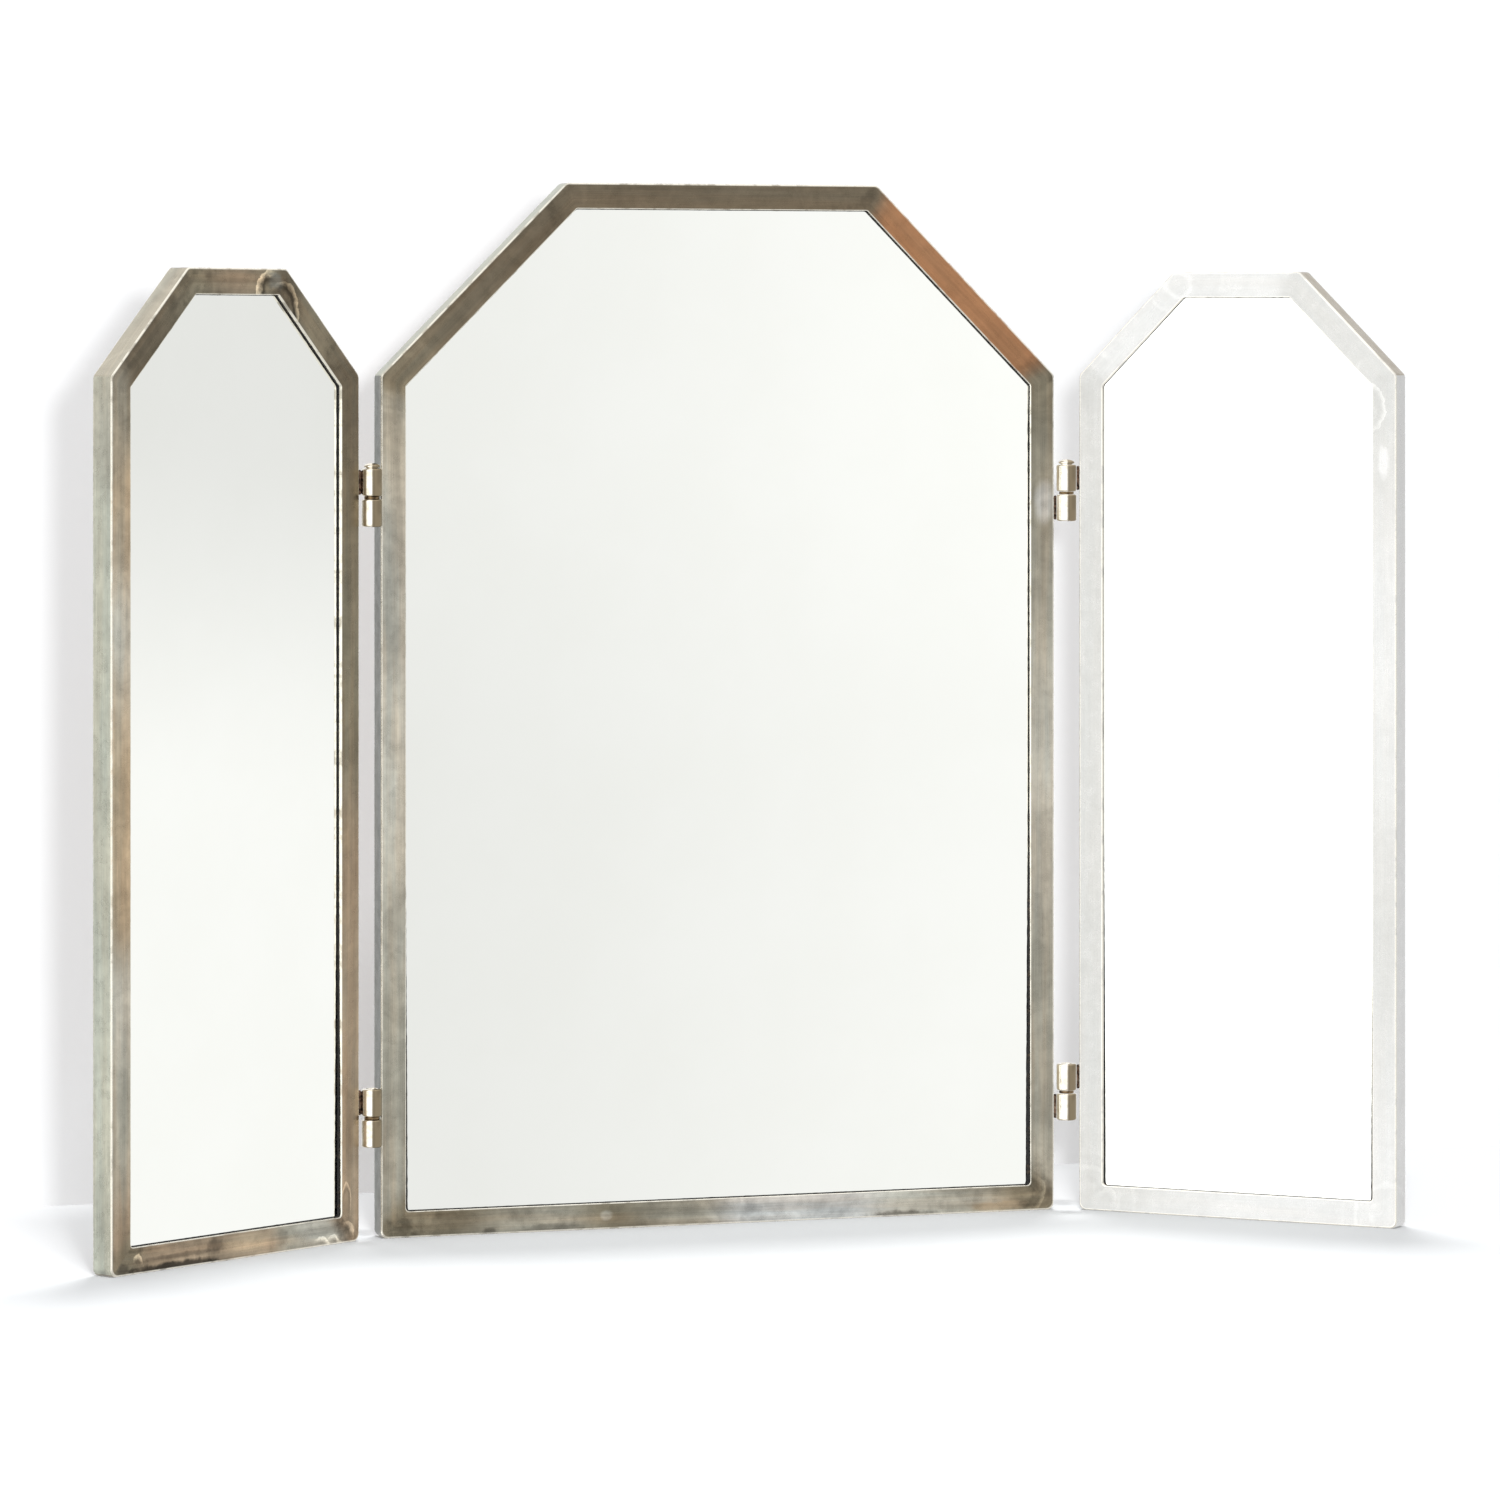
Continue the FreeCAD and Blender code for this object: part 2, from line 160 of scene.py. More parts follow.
# Clouds are given by scale, detail, roughness and distortion. Those with a scale each way are drawn
# out along the bar. A shade says where in its clouds it begins and ends, and what it makes of the
# metal at either end. A mark's or a stain's fade counts in its height.
frameFinish = {
    "mottle": (26, 7, 0.6, 0.6), "mottleShade": (0.3, 0.7, 0.80, 1.13),
    "cloud": (120, 6, 0.6), "cloudShade": (0.3, 0.7, 0.92, 1.07),
    "grain": (1500, 2, 0.7), "grainShade": (0.25, 0.75, 0.92, 1.06),
    "brush": ((22, 1400, 1), 4, 0.65), "brushShade": (0.3, 0.7, 0.90, 1.08),
    "streak": ((4, 130, 1), 3, 0.5), "streakShade": (0.3, 0.7, 0.84, 1.14),
    "tint": ((7, 90, 1), 3, 0.5), "tintFade": (0.35, 0.65), "cool": (0.96, 1.0, 1.0),
    "warm": (1.05, 1.0, 0.93), "rough": (0.3, 0.7, 0.24, 0.40), "polish": 0.12,
    "brushed": (0.2, 0.6, 0.35),  # the even, pale wing is polished finer
    # the pale tone of the bright edges, partly rubbed wear and partly painted highlight
    "rubbedAndSheen": (0.86, 0.825, 0.73), "rubAndSheenClouds": (90, 4), "rubAndSheenFade": (0.36, 0.5, 0.5),
    "rippleLength": 0.0125, "rippleGain": 0.10, "rippleNear": (0.012, 0.055, 1.0, 0.0),
    "rippleFade": (0.35, 0.98), "rippleWander": (60, 3), "rippleStray": 0.9,
    "ripplePatches": (34, 2), "patchFade": (0.45, 0.62),
    "sootClouds": (48, 5, 0.6), "sootShade": (0.5, 0.68, 0.0, 0.42),
    "markWidth": 0.0046, "markEdge": 0.0006, "markShadow": 0.009, "markShade": 0.32,
    "markWander": 0.009, "wanderHeight": 7, "markFade": (0.7, 1.75), "stainAndHighlightFade": (0.5, 1.2),
    "reliefs": (("mottle", 0.35, 0.0015), ("brush", 0.10, 0.0002), ("grain", 0.16, 0.0002)),
}

# named tones, partly patina and partly painted reflection: the lightest ones stand for light the metal
# reflects
patinasAndSheens = {
    "nickel": (0.40, 0.372, 0.308), "pale": (0.53, 0.505, 0.44), "rose": (0.385, 0.30, 0.215),
    "umber": (0.25, 0.215, 0.155), "olive": (0.175, 0.142, 0.10), "copper": (0.405, 0.21, 0.11),
    "silver": (0.485, 0.485, 0.47), "bright": (0.56, 0.56, 0.55), "taupe": (0.38, 0.34, 0.28),
    "sage": (0.495, 0.505, 0.43), "slate": (0.20, 0.205, 0.19), "blush": (0.50, 0.40, 0.28),
    "white": (0.66, 0.66, 0.655), "soot": (0.055, 0.045, 0.035),
}

# half rings that the polishing wheel left, for each panel: x, z, height, width over height, x and z
# of the brightest part, strength
polishMarks = {
    "left_wing": ((-100, 684, 12, 1.25, -113, 689, 2.2), (-90, 668, 21, 0.84, -67, 673, 2.1),
                  (-234, 7.5, 6.5, 0.62, -232, 16, 1.7), (-22, 28, 15, 0.34, -14, 42, 0.7),
                  (-24, 6, 9, 1.1, -13, 14, 0.9), (-50, -1, 8, 1.5, -44, 9, 0.8),
                  (-37, -2, 9, 1.1, -30, 9, 0.7)),
    "centre": ((238, 14, 15, 1.0, 251, 6, 0.6),),
    "right_wing": ((232, 598, 20, 0.95, 250, 604, 0.2), (30, 9, 8, 1.0, 34, 16, 0.10)),
}

# stains, and white marks that are painted highlights: x, z, height, width over height, tone, strength
stainsAndHighlights = {
    "left_wing": ((-196, 2.0, 3.8, 13, "soot", 0.95), (-190, 9, 2.2, 18, "soot", 0.5),
                  (-261, 590, 58, 0.4, "nickel", 0.7), (-96, 689, 6.5, 1.4, "slate", 0.65),
                  (-125, 11, 7.5, 3.3, "blush", 0.65), (-157, 12, 7, 1.2, "soot", 0.42),
                  (-89, 11, 7.5, 0.9, "soot", 0.38), (-249, 4, 5, 1.2, "soot", 0.55)),
    "centre": ((141, 0.6, 4.2, 7, "soot", 0.7), (214, 5, 6.5, 3.6, "blush", 0.8),
               (-178, 2, 3.0, 1.8, "soot", 0.5), (-130, 2.5, 3.4, 7, "soot", 0.4),
               (-90, 10, 4, 1.3, "pale", 0.6), (190, 9, 3, 12, "pale", 0.5),
               # the white mark is a painted highlight
               (252, 527, 17, 0.5, "white", 0.5)),
    # the white mark is a painted highlight
    "right_wing": ((250, 558, 13, 0.35, "white", 0.6),),
}


def agedNickel():
    look = frameFinish
    shader, place = startMaterial("agedNickel", {"Metallic": 1.0})
    toneMap = painted(shader, "patina")
    patina, unevenness = toneMap["Color"], toneMap["Alpha"]
    wear, corner = painted(shader, "wear")["Fac"], painted(shader, "cornerDistance")["Fac"]
    barMap = addNode(shader.id_data, "ShaderNodeUVMap", uv_map="barMap").outputs[0]

    def damped(shade, share):
        return plus(1.0, times(less(shade, 1.0), share))

    mottle, cloud, grain = (clouds(place, *look[name]) for name in ("mottle", "cloud", "grain"))
    brush, streak, tint = (clouds(barMap, *look[name]) for name in ("brush", "streak", "tint"))
    shade = times(ranged(mottle, *look["mottleShade"]), ranged(cloud, *look["cloudShade"]))
    shade = damped(times(shade, ranged(streak, *look["streakShade"])), unevenness)
    shade = times(shade, ranged(grain, *look["grainShade"]))
    brushed = ranged(unevenness, *look["brushed"])
    shade = times(shade, damped(ranged(brush, *look["brushShade"]), brushed))

    # polished ripples that run round the welded corners
    wander = times(clouds(place, *look["rippleWander"]), look["rippleLength"] * look["rippleStray"])
    phase = times(plus(corner, wander), 2 * pi / look["rippleLength"])
    near = ranged(corner, *look["rippleNear"])
    patchy = ranged(clouds(place, *look["ripplePatches"]), *look["patchFade"])
    ripple = times(times(ranged(calc("SINE", phase), *look["rippleFade"]), near), patchy)
    ripple = times(ripple, look["rippleGain"])
    uneven = less(cloud, 0.5)

    def spotOn(prefix, x, z):
        return folded(panels[prefix], x, panels[prefix]["front"], z)

    def unevenGap(prefix, x, z, height, wide):  # measured less along the bar than across it
        squeeze = Vector((1 / wide, 1 / wide, 1))
        wander = times(uneven, look["markWander"] * min(1, height / look["wanderHeight"]))
        return plus(gapTo(stretched(place, squeeze), spotOn(prefix, x, z) * squeeze), wander)

    def fading(away, height, name, strength):
        return ranged(away, *(share * height * mm for share in look[name]), strength, 0.0)

    for prefix, marks in polishMarks.items():
        for x, z, height, wide, topX, topZ, strength in marks:
            away = less(unevenGap(prefix, x, z, height, wide), height * mm)
            line = times(ranged(away, -look["markWidth"], 0.0),
                         ranged(away, 0.0, look["markEdge"], 1.0, 0.0))
            inside = times(ranged(away, -look["markShadow"], -look["markWidth"], 0.0,
                                  look["markShade"]),
                           ranged(away, -look["markWidth"], 0.0, 1.0, 0.0))
            fade = fading(gapTo(place, spotOn(prefix, topX, topZ)), height, "markFade", strength)
            ripple = plus(ripple, times(less(line, inside), fade))
    for prefix, spots in stainsAndHighlights.items():
        for x, z, height, wide, tone, strength in spots:
            stainAndHighlight = fading(unevenGap(prefix, x, z, height, wide), height, "stainAndHighlightFade", strength)
            patina = blended(stainAndHighlight, patina, patinasAndSheens[tone])
    shade = times(shade, plus(1.0, ripple))

    # soot left in the corners by the torch
    soot = times(near, ranged(clouds(place, *look["sootClouds"]), *look["sootShade"]))
    shade = times(shade, less(1.0, times(soot, unevenness)))

    grey = addNode(shader.id_data, "ShaderNodeCombineColor", enumerate((shade, shade, shade)))
    tint = blended(ranged(tint, *look["tintFade"]), look["cool"], look["warm"])
    tone = blended(1.0, patina, blended(unevenness, (1, 1, 1), tint), "MULTIPLY")
    tone = blended(1.0, tone, grey.outputs[0], "MULTIPLY")
    # edges painted bright: partly rubbed wear, partly a painted highlight where the rounded edges and the
    # lip catch the light
    rubAndSheen = times(wear, ranged(clouds(place, *look["rubAndSheenClouds"]), *look["rubAndSheenFade"]))
    polish = times(calc("MAXIMUM", rubAndSheen, ripple), look["polish"])
    feed(shader, {"Base Color": blended(rubAndSheen, tone, look["rubbedAndSheen"]),
                  "Roughness": less(ranged(cloud, *look["rough"]), polish)})
    relieve(shader, {"mottle": mottle, "brush": brush, "grain": grain}, look["reliefs"])


# The plain finishes, with their patterns as clouds. The layers lie over the base: pattern, where it
# begins and where it is full, how strong it gets, colour. "rough" is a pattern, its low and high, and
# the roughness at each. A last colour, where given, is painted shade, laid on top as far as the mesh's
# own value asks.
plainFinishes = {
    "polishedNickel": {
        "patterns": {"cloud": (180, 5, 0.6), "lathe": ((160, 160, 2600), 3, 0.6)},
        "base": (0.80, 0.76, 0.68), "layers": (("cloud", 0.4, 0.66, 1.0, (0.64, 0.58, 0.47)),),
        # painted shade: the brown of the hinge parts' side that is turned away from the bright light
        "film": (0.25, 0.20, 0.13), "rough": ("lathe", 0.3, 0.7, 0.05, 0.11),
        "reliefs": (("lathe", 0.08, 0.0001), ("cloud", 0.05, 0.0003))},
    "weldMetal": {
        "patterns": {"cloud": (420, 5, 0.65), "heat": (120, 3)}, "base": (0.020, 0.014, 0.011),
        "layers": (("cloud", 0.4, 0.6, 1.0, (0.13, 0.08, 0.055)),
                   ("heat", 0.5, 0.75, 0.5, (0.34, 0.27, 0.20))),
        "rough": ("cloud", 0.3, 0.7, 0.5, 0.3), "reliefs": (("cloud", 0.5, 0.0006),)},
    "silveredGlass": {
        "patterns": {"haze": (7, 4, 0.6), "streak": ((9, 9, 60), 3)},
        "base": (0.952, 0.962, 0.925),
        "layers": (("haze", 0.35, 0.65, 1.0, (0.938, 0.948, 0.907)),),
        "rough": ("haze streak", 0.1, 0.5, 0.012, 0.05), "reliefs": ()},
    # black, for the sealant and for the painted shade in the gaps round the panes
    "blackSealant": {
        "sockets": {"Metallic": 0.0, "Specular IOR Level": 0.3},
        "patterns": {"dust": (260, 5, 0.65)}, "base": (0.008, 0.008, 0.009),
        "layers": (("dust", 0.5, 0.72, 1.0, (0.055, 0.042, 0.030)),),
        "rough": ("dust", 0.3, 0.7, 0.42, 0.75), "reliefs": (("dust", 0.5, 0.0006),)},
    "turnedBrass": {
        "patterns": {"marks": ((300, 300, 3200), 3), "stain": (300, 5)}, "base": (0.22, 0.15, 0.08),
        "layers": (("stain", 0.35, 0.7, 1.0, (0.05, 0.032, 0.018)),),
        "rough": ("marks", 0.3, 0.7, 0.16, 0.34), "reliefs": (("marks", 0.1, 0.0001),)},
    "platedSteel": {
        "patterns": {"cloud": (70, 6, 0.6, 0.4), "grain": ((140, 900, 1900), 3)},
        "base": (0.44, 0.41, 0.35), "layers": (("cloud", 0.35, 0.68, 1.0, (0.23, 0.20, 0.155)),),
        "rough": ("grain", 0.3, 0.7, 0.28, 0.46),
        "reliefs": (("grain", 0.15, 0.0002), ("cloud", 0.2, 0.0008))},
    "zincScrew": {
        "patterns": {"stain": (380, 4)}, "base": (0.62, 0.61, 0.57),
        "layers": (("stain", 0.4, 0.7, 1.0, (0.40, 0.36, 0.27)),),
        "rough": ("stain", 0.3, 0.7, 0.22, 0.4), "reliefs": ()},
    "hardboard": {
        "sockets": {"Metallic": 0.0, "Specular IOR Level": 0.35},
        "patterns": {"fibre": ((420, 420, 260), 7, 0.7, 1.2), "fleck": (900, 3, 0.7),
                     "tide": (6, 4, 0.55, 0.8)}, "base": (0.165, 0.088, 0.046),
        "layers": (("fibre", 0.35, 0.65, 1.0, (0.27, 0.158, 0.088)),
                   ("fleck", 0.56, 0.72, 0.7, (0.085, 0.043, 0.022)),
                   ("tide", 0.4, 0.7, 0.35, (0.115, 0.062, 0.034))),
        "rough": ("fibre", 0.3, 0.7, 0.42, 0.62), "reliefs": (("fibre", 0.3, 0.0003),)},
}


def plainFinish(name, look):
    shader, place = startMaterial(name, look.get("sockets", {"Metallic": 1.0}))
    patterns = {label: clouds(place, *given) for label, given in look["patterns"].items()}
    tone = look["base"]
    for label, low, high, most, colour in look["layers"]:
        tone = blended(ranged(patterns[label], low, high, 0.0, most), tone, colour)
    # painted shade, laid over the tone where the mesh's own value asks for it
    if "film" in look:
        tone = blended(painted(shader, "film")["Fac"], tone, look["film"])
    labels, *limits = look["rough"]
    rough, *others = (patterns[label] for label in labels.split())
    for other in others:
        rough = times(rough, other)
    feed(shader, {"Base Color": tone, "Roughness": ranged(rough, *limits)})
    relieve(shader, patterns, look["reliefs"])


foamFinish = {"rough": 0.9, "cellScale": 1400, "dark": (0.018, 0.018, 0.019),
              "light": (0.06, 0.06, 0.06), "reliefs": (("cells", 0.5, 0.0003),)}


def foamSheet():
    look = foamFinish
    shader, place = startMaterial("foamSheet", {"Roughness": look["rough"]})
    cells = addNode(shader.id_data, "ShaderNodeTexVoronoi",
                    {"Vector": place, "Scale": look["cellScale"]}).outputs["Distance"]
    feed(shader, {"Base Color": blended(cells, look["dark"], look["light"])})
    relieve(shader, {"cells": cells}, look["reliefs"])


agedNickel()
for name, look in plainFinishes.items():
    plainFinish(name, look)
foamSheet()
print("finishes made:", ", ".join(finishes))


def addObject(name, data):
    thing = bpy.data.objects.new(name, data)
    bpy.context.scene.collection.objects.link(thing)
    return thing


def rawMesh(name, places, faces):
    mesh = bpy.data.meshes.new(name)
    mesh.from_pydata(places, [], faces)
    mesh.shade_smooth()
    return mesh


def meshFrom(name, shape, sharpAngle=40):
    mesh = bpy.data.meshes.new(name)
    shape.to_mesh(mesh)
    shape.free()
    mesh.shade_smooth()
    mesh.set_sharp_from_angle(angle=radians(sharpAngle))
    return mesh


def addPiece(mesh, body, materials, node=None):  # named as its mesh
    for material in materials:
        mesh.materials.append(finishes[material])
    piece = addObject(mesh.name, mesh)
    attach(piece, body)
    if node:
        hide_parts(node)
    if body == "right_wing" or piece.name.startswith("right_") and "_hinge_" in piece.name:
        piece.visible_glossy = False  # keeps the left pane plain


# The bar's section: (inset from the side face, depth from the front face, edge radius,
# radius of the frame's corner in plan, how bright the edge is painted, partly as rubbed wear and partly
# as painted highlight)
barLook = {
    "section": ((0, 0.8, 0.6, 5, 0.7), (0.8, 0, 0.6, 5, 0.7), (barWidth, 0, 0.5, 3, 0.8),
                (barWidth, barThickness, 0.3, 3, 0.0), (barThickness, barThickness, 0.8, 1, 0.0),
                (barThickness, barWidth, 0.5, 1, 0.3), (0.8, barWidth, 0.6, 5, 0.6),
                (0, barWidth - 0.8, 0.6, 5, 0.6)),
    # the lip's cut inner face is painted fully bright: a painted highlight
    "cutFrom": barWidth - 0.1, "cutUnder": 0.2, "cutSheen": 1.0,  # the cut inner edge is bright
    "edgeSteps": 3, "edgeMargin": 0.45, "faceCell": 2.6, "stationSpacing": 5,
    "cornerSpacing": 2, "cornerRun": 26, "cornerShare": 0.3, "bendSteps": 5, "waveDepth": 0.13,
    "waveLength": 48, "dentDepth": 0.05, "dentLength": 15, "cornerWave": 1.6, "cornerReach": 40,
    "toneBlend": 17, "toneWander": 0.06, "blendWander": 0.4, "wanderLength": 55, "sideFrom": 0.25,
    "sideFull": 1.2, "sideEvenness": 0.45, "seedSpread": (7.3, 3.1), "toneSeed": 9,
}

# going round each frame from its left foot: the tones along each bar, that of its outer side, and
# how cloudy it is. The tones are partly patina and partly painted reflection; the right wing's pale
# silver is painted reflected light.
barPatinasAndSheens = {
    "centre": (("umber umber nickel umber nickel bright bright pale nickel umber", "umber", 1.3),
               ("nickel nickel pale nickel umber", "nickel", 0.9),
               ("copper copper copper", "rose", 0.6),
               ("olive olive olive", "umber", 0.7), ("olive olive umber", "sage", 0.8),
               ("nickel pale pale nickel nickel", "slate", 1.0)),
    "left_wing": (("umber rose rose rose rose rose nickel pale pale", "umber", 1.6),
                  ("rose rose rose umber umber olive", "umber", 1.0),
                  ("olive umber olive", "umber", 1.0),
                  ("umber rose umber", "umber", 1.0), ("umber olive olive", "nickel", 0.9),
                  ("umber blush pale blush blush pale nickel rose", "sage", 1.1)),
    "right_wing": (("silver bright bright", "silver", 0.14),
                   ("bright silver bright silver", "white", 0.14),
                   ("silver silver", "taupe", 0.14), ("bright bright", "silver", 0.12),
                   ("bright bright", "silver", 0.12), ("silver silver", "silver", 0.14)),
}


def evenly(start, end, steps):
    return [start + (end - start) * step / steps for step in range(steps + 1)]


def arc(start, end, steps):  # the cosine and sine at each step
    return [(cos(angle), sin(angle)) for angle in evenly(start, end, steps)]


def bridge(shape, near, far):  # faces between two rings of points, or a ring and a single point
    faces = []
    for s in range(max(len(near), len(far))):
        ring = [near[s % len(near)], near[(s + 1) % len(near)], far[(s + 1) % len(far)],
                far[s % len(far)]]
        faces.append(shape.faces.new(list(dict.fromkeys(ring))))
    return faces


def roundedSection(corners, look):
    # points along the closed section: inset and depth, plan radius, and the edge's brightening, partly
    # rubbed wear and partly painted highlight
    count, arcs = len(corners), []
    for index, (inset, depth, radius, planRadius, rubAndSheen) in enumerate(corners):
        here = Vector((inset, depth))
        into = (here - Vector(corners[index - 1][:2])).normalized()
        out = (Vector(corners[(index + 1) % count][:2]) - here).normalized()
        turn = atan2(into.x * out.y - into.y * out.x, into.dot(out))
        spoke = Vector((into.y, -into.x)) * copysign(radius, turn)  # from the arc's centre to its start
        centre = here - into * radius * tan(abs(turn) / 2) - spoke
        arcs.append([(centre + Matrix.Rotation(swung, 2) @ spoke, planRadius, rubAndSheen)
                     for swung in evenly(0, turn, look["edgeSteps"])])
    points = []
    for index, edge in enumerate(arcs):
        points += edge
        (start, startPlan, _), (end, endPlan, _) = edge[-1], arcs[(index + 1) % count][0]
        length = (end - start).length
        if length < 4 * look["edgeMargin"]:
            continue
        margin = look["edgeMargin"] / length
        cells = max(1, round(length / look["faceCell"]))
        shares = [margin, *evenly(0, 1, cells)[1:-1], 1 - margin]
        points += [(start.lerp(end, share), startPlan + (endPlan - startPlan) * share, 0.0)
                   for share in shares]
    return points


def panelCorners(panel, inset):  # from the left foot, counter-clockwise seen from the front
    lean = inset * mitreLean
    left, right, chamfer = panel["left"], panel["right"], panel["chamfer"]
    shoulder, top = shoulderHeight - lean, shoulderHeight + chamfer - inset
    return [Vector(place) for place in (
        (left + inset, inset), (right - inset, inset), (right - inset, shoulder),
        (right - chamfer - lean, top), (left + chamfer + lean, top), (left + inset, shoulder))]


def bend(corners, index, share, radius):
    # a point of the rounded corner, and the way inwards from it
    here = corners[index]
    into = (here - corners[index - 1]).normalized()
    out = (corners[(index + 1) % 6] - here).normalized()
    turn = into.angle(out)
    inward = Vector((-into.y, into.x))
    centre = here + inward * radius - into * radius * tan(turn / 2)
    inward.rotate(Matrix.Rotation(turn * share, 2))
    return centre - inward * radius, inward


def barStations(panel, look, spacing):
    # for each bar: (corner, share of the bend) or (None, share of the run), and the distance along
    corners = panelCorners(panel, barWidth / 2)
    bars, travelled, half = [], 0.0, look["bendSteps"]
    for bar in range(6):
        following = (bar + 1) % 6
        run = (corners[following] - corners[bar]).length
        edge = min(look["cornerRun"] / run, look["cornerShare"])
        fine = max(2, round(edge * run / look["cornerSpacing"]))
        coarse = max(2, round((1 - 2 * edge) * run / spacing))
        shares = evenly(0, edge, fine) + evenly(edge, 1 - edge, coarse)[1:-1] + evenly(1 - edge, 1, fine)
        stations = [(bar, share, travelled) for share in evenly(0.5, 1, half)[:-1]]
        stations += [(None, share, travelled + run * share) for share in shares]
        travelled += run
        bars.append(stations + [(following, share, travelled) for share in evenly(0, 0.5, half)[1:-1]])
    return bars


def sweep(panel, section, bars, shaped):
    # every station's points in the flat panel, as shaped(position, outward) leaves them, and all of
    # them in their place
    levels = [(panelCorners(panel, point.x), planRadius) for point, planRadius, _ in section]
    normals = []
    for index in range(len(section)):
        along = section[(index + 1) % len(section)][0] - section[index - 1][0]
        normals.append(Vector((along.y, -along.x)).normalized())
    rings = []
    for bar, stations in enumerate(bars):
        for corner, share, _ in stations:
            ring = []
            for (point, _, _), (corners, radius), normal in zip(section, levels, normals):
                if corner is None:
                    start, inward = bend(corners, bar, 1.0, radius)
                    end, _ = bend(corners, (bar + 1) % 6, 0.0, radius)
                    place = start.lerp(end, share)
                else:
                    place, inward = bend(corners, corner, share, radius)
                outward = Vector((inward.x * normal.x, normal.y, inward.y * normal.x))
                ring.append(shaped(Vector((place.x, panel["front"] + point.y, place.y)), outward))
            rings.append(ring)
    return rings, [folded(panel, *spot) for ring in rings for spot in ring]


def skin(total, width, rows):  # the faces between rings of points, which may close on themselves
    return [(s * width + k, (s + 1) % total * width + k, (s + 1) % total * width + (k + 1) % width,
             s * width + (k + 1) % width) for s in range(rows) for k in range(width)]


def eased(value):
    value = min(max(value, 0.0), 1.0)
    return value * value * (3 - 2 * value)


def patinaAndSheenAt(tones, share, toCorner, cornerTone, spot):
    # the bar's own tones along it, drawn together with the next bar's at the welded corner
    wander = noise.noise(spot / barLook["wanderLength"])
    share = min(max(share + barLook["toneWander"] * wander, 0.0), 0.999) * (len(tones) - 1)
    own = tones[int(share)].lerp(tones[int(share) + 1], eased(share % 1))
    blend = barLook["toneBlend"] * (1 + barLook["blendWander"] * wander)
    return cornerTone.lerp(own, eased(toCorner / blend))


def makeBars(prefix, panel):
    look = barLook
    section = roundedSection(look["section"], look)
    bars = barStations(panel, look, look["stationSpacing"])
    weldCorners = [Vector((place.x, panel["front"], place.y))
                   for place in panelCorners(panel, barWidth / 2)]
    seed = Vector([*(panel["seed"] * spread for spread in look["seedSpread"]), 0])

    def cornerGap(spot):
        return min((spot - corner).length for corner in weldCorners)

    def ground(spot, outward):  # shallow waves left by the grinder, always into the metal
        wave, dent = (0.5 + 0.5 * noise.noise(spot / look[name] + seed)
                      for name in ("waveLength", "dentLength"))
        near = max(0.0, 1 - cornerGap(spot) / look["cornerReach"])
        depth = (look["waveDepth"] * wave + look["dentDepth"] * dent) * (1 + look["cornerWave"] * near)
        return spot - outward * depth

    rings, places = sweep(panel, section, bars, ground)
    total, width = len(rings), len(section)

    # the whole frame first, for normals that run on over the mitres
    whole = rawMesh(prefix + "_whole", places, skin(total, width, total))
    flowing = [Vector(item.vector) for item in whole.vertex_normals]
    bpy.data.meshes.remove(whole)

    around = [0.0]
    for index in range(width):
        around.append(around[-1] + (section[(index + 1) % width][0] - section[index][0]).length)
    low, high = panel["sides"]
    names = ("bottom_rail", high + "_stile", high + "_chamfer_rail", "top_rail", low + "_chamfer_rail",
             low + "_stile")
    allTones = [[Vector(patinasAndSheens[tone]) for tone in tones.split()] for tones, _, _ in barPatinasAndSheens[prefix]]
    first = 0
    for bar, name in enumerate(names):
        node = prefix + "_" + name
        size = len(bars[bar]) + 1
        order = [(first + step) % total for step in range(size)]
        first += len(bars[bar])
        caps = [tuple(range(width)), tuple((size - 1) * width + k for k in reversed(range(width)))]
        mesh = rawMesh(node + "_bar", [places[s * width + k] for s in order for k in range(width)],
                       skin(size, width, size - 1) + caps)

        distances = [distance for _, _, distance in bars[bar]]
        distances.append(bars[(bar + 1) % 6][0][2] if bar < 5 else distances[-1])
        span = distances[-1] - distances[0]
        tones = allTones[bar]
        before = min(allTones[bar - 1][-1], tones[0], key=sum)  # the duller of the two
        after = min(tones[-1], allTones[(bar + 1) % 6][0], key=sum)
        _, sideToneAndSheen, cloudy = barPatinasAndSheens[prefix][bar]
        patina, wear, gap = [], [], []
        for step, s in enumerate(order):
            gone = distances[step] - distances[0]
            nearest = (gone, before) if gone < span / 2 else (span - gone, after)
            for k in range(width):
                spot, ((inset, depth), _, rubAndSheen) = rings[s][k], section[k]
                tone = patinaAndSheenAt(tones, gone / span, *nearest, spot + seed * look["toneSeed"])
                # the outer side's own tone, partly patina and partly painted reflection of the light that
                # side faces
                side = eased((depth - look["sideFrom"]) / look["sideFull"]) * eased(1 - inset)
                patina += [*tone.lerp(Vector(patinasAndSheens[sideToneAndSheen]), side),
                           cloudy * (1 - look["sideEvenness"] * side)]
                cut = inset > look["cutFrom"] and depth > look["cutUnder"]
                wear.append(look["cutSheen"] if cut else rubAndSheen)
                gap.append(cornerGap(spot) * mm)
        for label, kind, values, field in (("patina", "FLOAT_COLOR", patina, "color"),
                                           ("wear", "FLOAT", wear, "value"),
                                           ("cornerDistance", "FLOAT", gap, "value")):
            mesh.attributes.new(label, kind, "POINT").data.foreach_set(field, values)

        barMap, normals = [], []
        for face in mesh.polygons:
            cap = len(face.vertices) > 4
            seam = not cap and {0, width - 1} <= {vertex % width for vertex in face.vertices}
            for vertex in face.vertices:
                step, k = divmod(vertex, width)
                barMap += [distances[step] * mm, around[width if seam and k == 0 else k] * mm]
                normals.append(face.normal.copy() if cap else flowing[order[step] * width + k])
        mesh.uv_layers.new(name="barMap").data.foreach_set("uv", barMap)
        mesh.normals_split_custom_set(normals)
        addPiece(mesh, prefix, ["agedNickel"], node)


sealantAndShadeLook = {"width": 0.42, "height": 0.42, "steps": 5, "ragged": 0.22, "raggedLength": 4,
               "planRadius": 2.8, "footWidening": 1.5, "footWideningHeight": 330, "stationSpacing": 2.5, "sharp": 60,
               "sideways": 0.9, "tolerance": 0.05}


